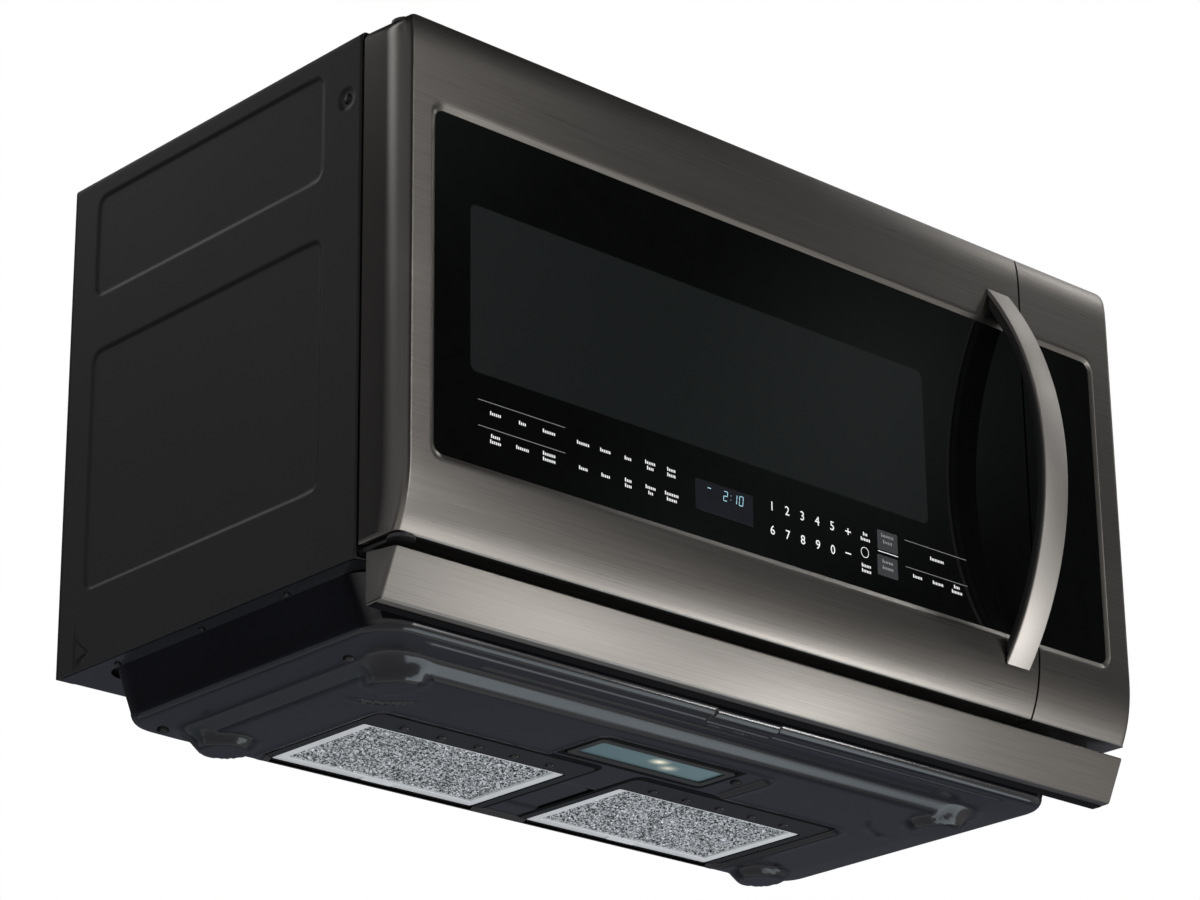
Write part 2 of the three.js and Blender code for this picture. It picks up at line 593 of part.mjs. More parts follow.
function fanMotor() {
  const front = FAN_FRAME[1] + FIT;
  const body = alongY(disc(FAN_X, FAN_Z, 21), [front, front + 26], 20);
  const cap = alongY(disc(FAN_X, FAN_Z, 12), [front + 26, front + 30], 16);
  return join(body, cap);
}

function coolingFan() {
  const hub = alongY(disc(FAN_X, FAN_Z, 14), [FAN_FRAME[0] + 2, FAN_FRAME[1] - 4], 20);
  const shaft = alongY(disc(FAN_X, FAN_Z, FAN_SHAFT), [FAN_FRAME[0] + 4, FAN_FRAME[1]], 10);
  const blades = [0, 1, 2, 3, 4].map((i) => {
    const blade = alongZ(roundedOutline(around(0, 22), [-1, 1], 0.9), [10, FAN_RADIUS - 1], 2);
    return blade.rotate([0, 0, 35]).rotate([0, 72 * i, 0])
      .translate([FAN_X, (FAN_FRAME[0] + FAN_FRAME[1]) / 2 - 1, FAN_Z]);
  });
  return join(hub, shaft, blades);
}

// ---------------------------------------------------------------- turntable
function turntableMotor() {
  const top = CAVITY_UNDERSIDE - FIT;
  const body = alongZ(disc(CAVITY_CENTRE, CAVITY_MID_Y, MOTOR_RADIUS), [top - 18, top], 28);
  const ears = block(around(CAVITY_CENTRE, 2 * MOTOR_RADIUS + 24), around(CAVITY_MID_Y, 14), [top - 2, top]);
  const plug = block(
    around(CAVITY_CENTRE, 16), [CAVITY_MID_Y, CAVITY_MID_Y + MOTOR_RADIUS + 8], [top - 14, top - 4]);
  return join(body, ears, plug);
}

function driveHub() {
  const low = CAVITY_UNDERSIDE;
  const seat = CAVITY_FLOOR + PLAY;
  const shaft = alongZ(disc(CAVITY_CENTRE, CAVITY_MID_Y, HUB_SHAFT), [low, seat + 1], 16);
  const body = alongZ(disc(CAVITY_CENTRE, CAVITY_MID_Y, HUB_RADIUS), [seat, TRAY_BOTTOM - 3], 24);
  const lobes = [0, 1, 2].map((i) => {
    const lobe = block([0, HUB_RADIUS - 2], around(0, 7), [TRAY_BOTTOM - 4, TRAY_BOTTOM - FIT]);
    return lobe.rotate([0, 0, 120 * i]).translate([CAVITY_CENTRE, CAVITY_MID_Y, 0]);
  });
  return join(shaft, body, lobes);
}

function rollerRing() {
  const axleZ = CAVITY_FLOOR + ROLLER_RADIUS + FIT;
  const inner = ROLLER_TRACK - ROLLER_WIDTH / 2 - 2 - RING_BAR;
  const band = alongZ(disc(0, 0, inner + RING_BAR), around(axleZ, RING_BAR), 36)
    .subtract(alongZ(disc(0, 0, inner), around(axleZ, 2 * RING_BAR), 36));
  const centre = alongZ(disc(0, 0, HUB_RADIUS + PLAY + 5), around(axleZ, RING_BAR), 24)
    .subtract(alongZ(disc(0, 0, HUB_RADIUS + PLAY), around(axleZ, 2 * RING_BAR), 24));
  const arms = [];
  for (let i = 0; i < ROLLER_COUNT; i += 1) {
    const spoke = block([HUB_RADIUS + PLAY + 2, inner + 2], around(0, 8), around(axleZ, RING_BAR));
    const pin = alongX(disc(0, axleZ, ROLLER_PIN), [inner + 2, ROLLER_TRACK + ROLLER_WIDTH / 2 + 3], 10);
    arms.push(join(spoke, pin).rotate([0, 0, (360 / ROLLER_COUNT) * i]));
  }
  return join(band, centre, arms).translate([CAVITY_CENTRE, CAVITY_MID_Y, 0]);
}

function roller(i) {
  const axleZ = CAVITY_FLOOR + ROLLER_RADIUS + FIT;
  const span = around(ROLLER_TRACK, ROLLER_WIDTH);
  const wheel = alongX(disc(0, axleZ, ROLLER_RADIUS), span, 20)
    .subtract(alongX(disc(0, axleZ, ROLLER_PIN + FIT), grown(span, DOUBLE_CUT), 12));
  return wheel.rotate([0, 0, (360 / ROLLER_COUNT) * i]).translate([CAVITY_CENTRE, CAVITY_MID_Y, 0]);
}

function glassTray() {
  const [low, high] = [TRAY_BOTTOM, TRAY_BOTTOM + TRAY_THICKNESS];
  const lip = low + TRAY_RIM;
  const floorRadius = TRAY_RADIUS - 14;
  const dish = turned([
    [0, low], [floorRadius, low], [TRAY_RADIUS - 3, lip - 3], [TRAY_RADIUS, lip - 1],
    [TRAY_RADIUS - 1, lip], [TRAY_RADIUS - 5, lip], [floorRadius - 2, high], [0, high],
  ], [CAVITY_CENTRE, CAVITY_MID_Y], 48);
  const lugs = [0, 1, 2].map((i) => {
    const lug = block([8, HUB_RADIUS - 2.5], around(0, 5), [low - 2.4, low + 1]);
    return lug.rotate([0, 0, 60 + 120 * i]).translate([CAVITY_CENTRE, CAVITY_MID_Y, 0]);
  });
  return join(dish, lugs);
}

// ---------------------------------------------------------------- extractor blower
const DUCT_FRONT_Y = DUCT_REAR_Y - DUCT_DEPTH;
const DAMPER_Z = UNDER_TOP - 5;
const DAMPER_ROD = 1.6;
const DAMPER_PIVOT_Y = DUCT_REAR_Y - PLAY - DAMPER_ROD;

// The scroll's side outline in (Y, Z): a spiral that opens into an upright outlet.
function scrollOutline(offset) {
  const points = [];
  const start = -0.15 * Math.PI;
  const sweep = 1.2 * Math.PI;
  for (let i = 0; i <= 14; i += 1) {
    const angle = start - (sweep * i) / 14;
    const radius = BLOWER_RADIUS + SCROLL_GAP + (SCROLL_GROWTH * i) / 14 + offset;
    points.push([BLOWER_Y + radius * Math.cos(angle), BLOWER_Z + radius * Math.sin(angle)]);
  }
  const outletTop = DAMPER_Z - FIT;
  points.push([DUCT_FRONT_Y + 4 - offset, outletTop], [DUCT_REAR_Y - 4 + offset, outletTop]);
  return polygon(points);
}

function blowerHousing() {
  const outerEnd = BLOWER_MOTOR_LENGTH / 2 + BLOWER_LENGTH + 14;
  const shells = [-1, 1].map((side) => {
    const ends = [side * (BLOWER_MOTOR_LENGTH / 2 + 2), side * outerEnd].sort((a, b) => a - b);
    const shell = alongX(scrollOutline(BLOWER_WALL), ends);
    const hollow = alongX(scrollOutline(0), grown(ends, -BLOWER_WALL));
    const eye = alongX(disc(BLOWER_Y, BLOWER_Z, BLOWER_RADIUS - 8), grown(ends, DOUBLE_CUT), 24);
    const outlet = block(
      grown(ends, -BLOWER_WALL), grown([DUCT_FRONT_Y, DUCT_REAR_Y], -4 - BLOWER_WALL), around(DAMPER_Z, 10));
    return cut(shell, hollow, eye, outlet);
  });
  const foot = block(
    [-outerEnd, outerEnd], around(BLOWER_Y, 50), [CAVITY_ROOF + FIT, CAVITY_ROOF + FIT + 2.5]);
  const bridge = block(
    around(0, BLOWER_MOTOR_LENGTH + 8), [DUCT_FRONT_Y + 4, DUCT_FRONT_Y + 7], [DAMPER_Z - 20, DAMPER_Z - 4]);
  return join(shells, foot, bridge);
}

function blowerMotor() {
  const half = BLOWER_MOTOR_LENGTH / 2 - 6;
  const body = alongX(disc(BLOWER_Y, BLOWER_Z, 24), [-half, half], 24);
  const collars = alongX(disc(BLOWER_Y, BLOWER_Z, 12), [-half - 4, half + 4], 16);
  const bore = alongX(disc(BLOWER_Y, BLOWER_Z, 4 + FIT), [-half - 10, half + 10], 12);
  const foot = block([-half, half], around(BLOWER_Y, 30), [CAVITY_ROOF + 2 * FIT + 2.5, BLOWER_Z - 10]);
  return cut(join(body, collars, foot), bore);
}

// A wheel of forward-curved blades between a back plate and a rim ring.
function blowerWheel(side) {
  const near = BLOWER_MOTOR_LENGTH / 2 + 7;
  const far = near + BLOWER_LENGTH;
  const back = alongX(disc(0, 0, BLOWER_RADIUS), [near, near + 2], 24);
  const rim = alongX(disc(0, 0, BLOWER_RADIUS), [far - 3, far], 24)
    .subtract(alongX(disc(0, 0, BLOWER_RADIUS - 7), [far - 10, far + 5], 24));
  const hub = alongX(disc(0, 0, 9), [near, near + 16], 16);
  const shaft = alongX(disc(0, 0, 4), [PLAY, near + 1], 12);
  const blades = [];
  for (let i = 0; i < BLOWER_BLADES; i += 1) {
    const blade = block([near + 1, far - 1], around(0, 1.4), around(BLOWER_RADIUS - 4, 7));
    blades.push(blade.rotate([(360 / BLOWER_BLADES) * i, 0, 0]));
  }
  const wheel = join(back, rim, hub, shaft, blades);
  const placed = side > 0 ? wheel : wheel.mirror([1, 0, 0]);
  return placed.translate([0, BLOWER_Y, BLOWER_Z]);
}

function damper() {
  const x = around(0, DUCT_WIDTH - 2 * PLAY);
  const flap = block(x, [DUCT_FRONT_Y + PLAY, DAMPER_PIVOT_Y], [DAMPER_Z, DAMPER_Z + 1.2]);
  const rod = alongX(disc(DAMPER_PIVOT_Y, DAMPER_Z + DAMPER_ROD, DAMPER_ROD), x, 10);
  return join(flap, rod);
}

function grillePlaces() {
  const front = CABINET_FRONT + 8;
  return { opening: [front, front + GRILLE_DEPTH] };
}

function topGrille() {
  const [front, back] = grillePlaces().opening;
  const across = around(0, GRILLE_WIDTH - 2 * FIT);
  const depth = grown([front, back], -FIT);
  const frame = block(across, depth, [UNDER_TOP - 6, CABINET_TOP])
    .subtract(block(grown(across, -4), grown(depth, -3), around(CABINET_TOP, 40)));
  const pitch = (depth[1] - depth[0]) / (GRILLE_BARS + 1);
  const bars = [];
  for (let i = 1; i <= GRILLE_BARS; i += 1) {
    const bar = block(around(0, GRILLE_WIDTH - 6), around(0, 2), around(0, 7));
    bars.push(bar.rotate([30, 0, 0]).translate([0, depth[0] + pitch * i, UNDER_TOP - 2]));
  }
  const posts = [-100, 100].map((x) => block(around(x, 3), depth, [UNDER_TOP - 6, UNDER_TOP - 3]));
  return join(frame, bars, posts);
}

function charcoalFilter() {
  const front = grillePlaces().opening[1] + 12;
  const height = [CAVITY_ROOF + FIT, UNDER_TOP - 2];
  const frame = block(around(0, 300), [front, front + 22], height);
  const bays = [];
  for (let i = 0; i < 6; i += 1) {
    const x = around(-125 + 50 * i, 44);
    bays.push(block(x, [front - 1, front + 4], grown(height, -6)));
    bays.push(block(x, [front + 18, front + 23], grown(height, -6)));
  }
  return cut(frame, bays);
}

const GLAND_X = 250;
const GLAND_Y = -55;
const GLAND_RADIUS = 12;

function cordGland() {
  const low = CABINET_TOP - SHEET - FIT;
  const high = CABINET_TOP + FIT;
  const neck = GLAND_RADIUS - FIT;
  return turned([
    [6, low - 4], [neck + 4, low - 4], [neck + 4, low], [neck, low], [neck, high],
    [neck + 4, high], [neck + 3, high + 4], [8, high + 6], [6, high + 6], [6, low - 4],
  ], [GLAND_X, GLAND_Y], 20);
}

// ---------------------------------------------------------------- pressed base pan
function panRings(inset) {
  const wall = HALF - PAN_INSET - inset;
  const front = CABINET_FRONT + 6 + inset;
  const rear = PAN_REAR_Y - inset;
  const floor = PAN_FLOOR_Z + inset;
  const rim = PAN_RIM_Z + inset;
  const foot = wall - PAN_DRAFT;
  const levels = [
    { x: wall, y: [front, rear], z: PAN_TOP + (inset ? 5 : 0), r: 20 },
    { x: foot - 2, y: grown([front, rear], -2), z: rim + 9, r: 20 },
    { x: foot - 5, y: grown([front, rear], -5), z: rim + 2, r: 22 },
    { x: foot - PAN_CURL, y: grown([front, rear], 1 - PAN_CURL), z: rim, r: 22 },
    { x: foot - PAN_RIM_SIDE, y: [front + PAN_RIM_FRONT, rear - PAN_RIM_REAR], z: rim - 1, r: 26 },
    {
      x: foot - PAN_RIM_SIDE - PAN_SLOPE,
      y: [front + PAN_RIM_FRONT + PAN_SLOPE, rear - PAN_RIM_REAR - PAN_SLOPE],
      z: floor,
      r: 26,
    },
  ];
  return levels.map(({ x, y, z, r }) => ring('z', roundedOutline([-x, x], y, r - inset), z, 6));
}

// The plan of the pan's rim, which trims the bosses at its rear edge.
function panFootprint(inset) {
  const x = grown([-HALF, HALF], -PAN_INSET - PAN_DRAFT - PAN_CURL - inset);
  const y = grown([CABINET_FRONT + 6, PAN_REAR_Y], 1 - PAN_CURL - inset);
  return alongZ(roundedOutline(x, y, 22), [PAN_BOSS_Z - 5, PAN_TOP], 6);
}

// The sunk field that holds both filters and, ahead of them, the lamp.
function recessCutter() {
  const halfWidth = FILTER_GAP / 2 + FILTER_WIDTH + RECESS_SIDE;
  const front = FILTER_SPAN_Y[0] - RECESS_FRONT;
  const field = pressing(
    'z', [-halfWidth, halfWidth], [front, FILTER_REAR_Y + 1], RECESS_CORNER, PAN_FLOOR_Z, RECESS_DEPTH);
  const lampField = pressing(
    'z', [-LAMP_WIDTH / 2 - LAMP_RECESS_LEFT, LAMP_WIDTH / 2 + LAMP_RECESS_RIGHT],
    [LAMP_SPAN_Y[0] - LAMP_RECESS_FRONT, front + 12], RECESS_CORNER, PAN_FLOOR_Z, RECESS_DEPTH);
  return join(field, lampField);
}

function panBosses(inset) {
  return [-1, 1].flatMap((side) => [PAN_BOSS_FRONT_Y, PAN_BOSS_REAR_Y].map((y) => turned([
    [0, PAN_BOSS_Z + inset], [PAN_BOSS_RADIUS - inset / 2, PAN_BOSS_Z + inset],
    [PAN_BOSS_SPREAD - inset / 2, PAN_RIM_Z + inset], [0, PAN_RIM_Z + inset],
  ], [side * PAN_BOSS_X, y], 18).intersect(panFootprint(inset))));
}

function filterSpan(side) {
  const inner = side * (FILTER_GAP / 2);
  return [inner, inner + side * FILTER_WIDTH].sort((a, b) => a - b);
}

const FILTER_SPAN_Y = [FILTER_REAR_Y - FILTER_DEPTH, FILTER_REAR_Y];
const LAMP_SPAN_Y = [LAMP_REAR_Y - LAMP_DEPTH, LAMP_REAR_Y];

function basePan() {
  const outer = join(loft(panRings(0)), panBosses(0));
  const inner = join(loft(panRings(SHEET)), panBosses(SHEET));
  const flange = alongZ(
    roundedOutline([-INNER, INNER], [BEHIND_FRONT, -SHEET - FIT], 6), [PAN_TOP - SHEET, PAN_TOP])
    .subtract(alongZ(roundedOutline(
      grown([-HALF, HALF], -PAN_INSET - SHEET), [CABINET_FRONT + 6 + SHEET, PAN_REAR_Y - SHEET], 18),
    around(PAN_TOP, 10)));
  let pan = cut(join(outer, flange), inner);
  const mouth = block(
    around(0, VISOR_WIDTH + 2 * RAIL_WIDTH + 4), [CABINET_FRONT - 2, CABINET_FRONT + 22], [PAN_FRONT_LIP, 0]);
  pan = pressed(cut(pan, mouth), recessCutter(), [0, 0, SHEET]);
  const throughFloor = [PAN_FLOOR_Z - 5, RECESS_Z + 6];
  [-1, 1].forEach((side) => {
    const hole = grown(filterSpan(side), PLAY);
    const depth = grown(FILTER_SPAN_Y, PLAY);
    const collar = block(grown(hole, SHEET), grown(depth, SHEET), [RECESS_Z, FILTER_FACE_Z + FILTER_HEIGHT]);
    const well = block(hole, depth, [PAN_FLOOR_Z - 5, FILTER_FACE_Z + FILTER_HEIGHT + 5]);
    pan = cut(join(pan, collar), well);
    const stop = block(grown(hole, SHEET), [depth[1] - 4, depth[1] + SHEET],
      [FILTER_FACE_Z + FILTER_HEIGHT + FIT, FILTER_FACE_Z + FILTER_HEIGHT + FIT + SHEET]);
    const post = block(grown(hole, SHEET), [depth[1], depth[1] + SHEET],
      [RECESS_Z, FILTER_FACE_Z + FILTER_HEIGHT + FIT + SHEET]);
    pan = join(pan, stop, post);
  });
  const lampHole = alongZ(
    roundedOutline(grown(around(0, LAMP_WIDTH), PLAY), grown(LAMP_SPAN_Y, PLAY), 5), throughFloor);
  pan = cut(pan, lampHole);
  const plate = pressing('z', around(0, FILTER_GAP - 16), [-160, -92], 5, RECESS_Z, 1);
  pan = pressed(pan, plate, [0, 0, SHEET]);
  for (let i = 0; i < 3; i += 1) {
    const [length, y] = [470 - 60 * i, CABINET_FRONT + 21 + 8 * i];
    pan = cut(pan, pressing('z', around(0, length), around(y, 3.4), 1.2, PAN_RIM_Z, 0.8));
  }
  const screws = [-1, 1].flatMap((side) => [-270, -52].map((y) => (
    alongZ(disc(side * (HALF - PAN_SCREW_INSET), y, 4.5), [PAN_RIM_Z - 3, PAN_RIM_Z + 1], 10))));
  const lampScrew = alongZ(
    disc(LAMP_WIDTH / 2 + 16, LAMP_REAR_Y - 24, 4.5), [RECESS_Z - 1.5, RECESS_Z + 1], 10);
  return join(pan, screws, lampScrew);
}

function filterFrame(side) {
  const x = filterSpan(side);
  const z = [FILTER_FACE_Z, FILTER_FACE_Z + FILTER_HEIGHT];
  const frame = block(x, FILTER_SPAN_Y, z);
  const window = block(grown(x, -FILTER_BORDER), grown(FILTER_SPAN_Y, -FILTER_BORDER), grown(z, DOUBLE_CUT));
  const seat = block(
    grown(x, -FILTER_BORDER / 2), grown(FILTER_SPAN_Y, -FILTER_BORDER / 2), [z[0] + 2, z[1] - 2]);
  const pull = block(around((x[0] + x[1]) / 2, 30), [FILTER_SPAN_Y[1] - 7, FILTER_SPAN_Y[1] - 3],
    [z[0] - 1.5, z[0] + 1]);
  return join(cut(frame, window, seat), pull);
}

function filterMesh(side) {
  const x = grown(filterSpan(side), -FILTER_BORDER / 2 - FIT);
  const y = grown(FILTER_SPAN_Y, -FILTER_BORDER / 2 - FIT);
  const low = FILTER_FACE_Z + (FILTER_HEIGHT - FILTER_MESH) / 2 + FIT;
  return block(x, y, [low, low + FILTER_MESH - 2 * FIT]);
}

const LAMP_FACE_Z = RECESS_Z - 1;

function lampCover() {
  const x = around(0, LAMP_WIDTH);
  const z = [LAMP_FACE_Z, LAMP_FACE_Z + LAMP_COVER];
  const frame = alongZ(roundedOutline(x, LAMP_SPAN_Y, 4), z);
  const window = alongZ(
    roundedOutline(grown(x, -LAMP_BORDER), grown(LAMP_SPAN_Y, -LAMP_BORDER), 3), grown(z, DOUBLE_CUT));
  const seat = block(grown(x, -3), grown(LAMP_SPAN_Y, -3), [z[0] + 1.2, z[1] + DOUBLE_CUT]);
  return cut(frame, window, seat);
}

function lampGlass() {
  const z = LAMP_FACE_Z + 1.2 + FIT;
  return block(grown(around(0, LAMP_WIDTH), -3 - FIT), grown(LAMP_SPAN_Y, -3 - FIT), [z, z + 2.2]);
}

function lampHousing() {
  const low = RECESS_Z + SHEET + FIT;
  const high = low + LAMP_BOX_HEIGHT;
  const ledge = LAMP_FACE_Z + LAMP_COVER + FIT;
  const x = around(0, LAMP_WIDTH);
  const outer = block(grown(x, PLAY + 3), grown(LAMP_SPAN_Y, PLAY + 3), [low, high]);
  const well = block(grown(x, PLAY), grown(LAMP_SPAN_Y, PLAY), [low - 5, ledge]);
  const chamber = block(grown(x, -2), grown(LAMP_SPAN_Y, -2), [low - 5, high - SHEET]);
  const board = block(grown(x, -10), grown(LAMP_SPAN_Y, -8), [high - SHEET - 1.6, high - SHEET / 2]);
  const lights = [-18, 18].map((dx) => (
    alongZ(disc(dx, LAMP_REAR_Y - LAMP_DEPTH / 2, 4), [high - SHEET - 4, high - SHEET - 1], 12)));
  return join(cut(outer, well, chamber), board, lights);
}

// ---------------------------------------------------------------- slide-out vent
const BAR_FRONT = DOOR_FACE + VENT_BAR_SETBACK;
const BAR_BACK = DOOR_FACE + VENT_BAR_BACK;

function ventBar() {
  const outline = (inset) => polygon([
    [BAR_FRONT + inset, VENT_BAR_TOP - inset],
    [BAR_BACK - inset, VENT_BAR_TOP + 3.5 - inset],
    [BAR_BACK - inset, VENT_BAR_BOTTOM - 0.8 + inset],
    [BAR_FRONT + VENT_BAR_SLOPE + inset * 0.8, VENT_BAR_BOTTOM + inset],
  ]);
  const across = grown([-HALF, HALF], -VENT_BAR_SIDE);
  const skin = alongX(outline(0), across);
  const hollow = alongX(outline(VENT_BAR_WALL), grown(across, -VENT_BAR_WALL));
  const opening = block(
    around(0, VISOR_WIDTH - 60), around(BAR_BACK, 6), [VENT_BAR_BOTTOM + 5, VENT_BAR_TOP - 6]);
  return cut(skin, hollow, opening);
}

function visorSpan() {
  return [BAR_BACK + FIT, BAR_BACK + FIT + VISOR_LENGTH];
}

function ventVisor() {
  const x = around(0, VISOR_WIDTH - 2 * PLAY);
  const y = visorSpan();
  const z = [VISOR_TOP - VISOR_HEIGHT, VISOR_TOP];
  const inside = block(grown(x, -VISOR_WALL), [y[0] - 5, y[1] - 10], [z[0] + VISOR_WALL, z[1] + 5]);
  const tray = block(x, y, z).subtract(inside);
  const runners = block(
    around(0, VISOR_WIDTH + 2 * RAIL_TONGUE), [y[0] + 12, y[1]], around(VISOR_TOP - VISOR_HEIGHT / 2, 3));
  const hollow = block(grown(x, -VISOR_WALL), [y[0] - 5, y[1] - 10], [z[0] + VISOR_WALL, z[1] + 5]);
  const pitch = VISOR_WIDTH / VISOR_SLOTS;
  const slots = [];
  for (let i = 0; i < VISOR_SLOTS; i += 1) {
    const middle = -VISOR_WIDTH / 2 + pitch * (i + 0.5);
    for (let row = 0; row < 3; row += 1) {
      slots.push(block(around(middle, pitch - 16), around(y[0] + 40 + 32 * row, 16), [z[0] - 2, z[0] + 6]));
    }
  }
  return cut(join(tray, runners), hollow, slots);
}

function ventRail(side) {
  const groove = VISOR_TOP - VISOR_HEIGHT / 2;
  const x = [VISOR_WIDTH / 2 + PLAY / 2, VISOR_WIDTH / 2 + RAIL_WIDTH];
  const y = [BEHIND_FRONT + 14, visorSpan()[1] + 4];
  const web = block(x, y, [VISOR_TOP - VISOR_HEIGHT, CHASSIS_LEVEL - FIT]);
  const slot = block(
    [x[0] - 1, VISOR_WIDTH / 2 + RAIL_TONGUE + PLAY], grown(y, 5), around(groove, 3 + 2 * FIT));
  const rail = cut(web, slot);
  return side > 0 ? rail : rail.mirror([1, 0, 0]);
}

// ---------------------------------------------------------------- door and side panel
// The side view of the door in (Y, Z), drawn in by inset on every side.
function doorOutline(inset) {
  const face = DOOR_FACE + inset;
  const outline = new THREE.Shape();
  outline.moveTo(DOOR_BACK + (inset ? 5 : 0), inset);
  outline.lineTo(face + DOOR_CHIN_DEPTH, inset);
  outline.quadraticCurveTo(face, DOOR_CHIN_HEIGHT * 0.4, face, DOOR_CHIN_HEIGHT);
  outline.lineTo(face, DOOR_HEIGHT - DOOR_BROW_HEIGHT);
  outline.quadraticCurveTo(
    face, DOOR_HEIGHT - DOOR_BROW_HEIGHT * 0.35, face + DOOR_BROW_DEPTH, DOOR_HEIGHT - inset);
  outline.lineTo(DOOR_BACK + (inset ? 5 : 0), DOOR_HEIGHT + DOOR_CROWN - inset);
  return outline;
}

// The opening for the glass, with its sloping bevel in front.
function glassCutter([x0, x1]) {
  const z = [GLASS_BOTTOM, GLASS_TOP];
  const outline = (by) => roundedOutline(grown([x0, x1], by), grown(z, by), GLASS_CORNER + by);
  return join(
    loft([
      ring('y', outline(BEVEL + 1), DOOR_FACE - 0.4),
      ring('y', outline(0), DOOR_FACE + GLASS_RECESS),
    ]),
    alongY(outline(0), [DOOR_FACE + GLASS_RECESS - 0.2, DOOR_FACE + DOOR_SKIN + 6], 3));
}

function facing([x0, x1], roundedSide) {
  const solid = alongX(doorOutline(0), [x0, x1], 14);
  const hollow = alongX(doorOutline(DOOR_SKIN), [x0 + DOOR_SKIN, x1 - DOOR_SKIN], 14);
  const reach = 2 * DOOR_EDGE_RADIUS;
  const plan = roundedSide < 0
    ? roundedOutline([x0, x1 + reach], [DOOR_FACE, DOOR_BACK + reach], DOOR_EDGE_RADIUS)
    : roundedOutline([x0 - reach, x1], [DOOR_FACE, DOOR_BACK + reach], DOOR_EDGE_RADIUS);
  return solid.intersect(alongZ(plan, [-10, DOOR_HEIGHT + 20], 4)).subtract(hollow);
}

const DOOR_RIGHT = SEAM_X - SEAM_GAP / 2;
const PANEL_LEFT = SEAM_X + SEAM_GAP / 2;

const upperTongue = () => [HINGE_POCKET_Z + FIT, HINGE_POCKET_Z + FIT + HINGE_TONGUE];
const lowerTongue = () => [-PLAY - HINGE_TONGUE, -PLAY];

function doorSkin() {
  const skin = facing([-HALF, DOOR_RIGHT], -1);
  const opening = glassCutter([-HALF + GLASS_SIDE_MARGIN, DOOR_RIGHT + 40]);
  const sideGap = block(
    [DOOR_RIGHT - DOOR_SKIN - 1, DOOR_RIGHT + 5], [DOOR_FACE - 5, DOOR_BACK + 5], [GLASS_BOTTOM, GLASS_TOP]);
  const pocket = block(
    [-HALF - 5, HINGE_X + HINGE_TONGUE_WIDTH / 2 + PLAY],
    [HINGE_Y - HINGE_TONGUE_NOSE - PLAY, DOOR_BACK + 5], [HINGE_POCKET_Z, DOOR_HEIGHT + 10]);
  const floor = block(
    [-HALF + 1, HINGE_X + HINGE_TONGUE_WIDTH / 2 + PLAY + DOOR_SKIN],
    [HINGE_Y - HINGE_TONGUE_NOSE - PLAY - DOOR_SKIN, DOOR_BACK],
    [HINGE_POCKET_Z - DOOR_SKIN, DOOR_HEIGHT - 1]);
  const bore = alongZ(disc(HINGE_X, HINGE_Y, HINGE_PIN_RADIUS + FIT), [-5, DOOR_HEIGHT], 16);
  return cut(join(cut(skin, opening, sideGap), floor), pocket, bore);
}

function sidePanelFrame() {
  const skin = facing([PANEL_LEFT, HALF], 1);
  const opening = glassCutter([PANEL_LEFT - 40, HALF - GLASS_STILE_RIGHT]);
  const sideGap = block(
    [PANEL_LEFT - 5, PANEL_LEFT + DOOR_SKIN + 1], [DOOR_FACE - 5, DOOR_BACK + 5], [GLASS_BOTTOM, GLASS_TOP]);
  const lugs = [[DOOR_SKIN / 2, 14], [DOOR_HEIGHT - 16, DOOR_HEIGHT + DOOR_SKIN / 2]].map((z) => (
    block(around((PANEL_LEFT + HALF) / 2, 50), [DOOR_BACK - 12, CABINET_FRONT - FIT], z)));
  return join(cut(skin, opening, sideGap), lugs);
}

function glassPane([x0, x1]) {
  const z = grown([GLASS_BOTTOM, GLASS_TOP], -FIT);
  const reach = 3 * GLASS_CORNER;
  const outline = x0 < 0
    ? roundedOutline([x0 + FIT, x1 + reach], z, GLASS_CORNER - FIT)
    : roundedOutline([x0 - reach, x1 - FIT], z, GLASS_CORNER - FIT);
  return alongY(outline, [GLASS_FRONT, GLASS_BACK], 3)
    .intersect(block([x0, x1], [GLASS_FRONT - 1, GLASS_BACK + 1], [0, DOOR_HEIGHT]));
}

const CHOKE_FRONT = DOOR_BACK - 20;
const CHOKE_BACK = DOOR_BACK - 3.5;
const CHOKE_SHEET = 1.5;

const SPRING_LOW_Z = LATCH_LOW_Z + LATCH_SPAN + LATCH_HOOK_HEIGHT + 8 + FIT;
const SPRING_HEIGHT = 34;

function chokeFrame() {
  const x = [-HALF + DOOR_SKIN + FIT, DOOR_RIGHT - DOOR_SKIN - FIT];
  const z = [DOOR_SKIN + FIT, HINGE_POCKET_Z - DOOR_SKIN - 1];
  const inside = block(
    grown(x, -CHOKE_SHEET), [CHOKE_FRONT - 5, CHOKE_BACK - CHOKE_SHEET], grown(z, -CHOKE_SHEET));
  const tray = block(x, [CHOKE_FRONT, CHOKE_BACK], z).subtract(inside);
  const window = alongY(
    roundedOutline([WINDOW_LEFT, WINDOW_RIGHT], [WINDOW_BOTTOM, WINDOW_TOP], 6), around(CHOKE_BACK, 20));
  const inner = [CAVITY_LEFT + 12, CAVITY_RIGHT - 12];
  const height = [CAVITY_FLOOR + 12, CAVITY_CEILING - 12];
  const channel = alongY(roundedOutline(inner, height, 10), [CHOKE_FRONT + 4, CHOKE_BACK])
    .subtract(alongY(roundedOutline(grown(inner, -CHOKE_SHEET), grown(height, -CHOKE_SHEET), 8.5),
      [CHOKE_FRONT, CHOKE_BACK + 5]));
  const springTop = SPRING_LOW_Z + SPRING_HEIGHT + FIT;
  const springSeat = block(
    around(LATCH_X, 14), [CHOKE_FRONT + 4, CHOKE_BACK - 1], [springTop, springTop + 2]);
  return cut(join(tray, channel, springSeat), window, latchSlots(2));
}

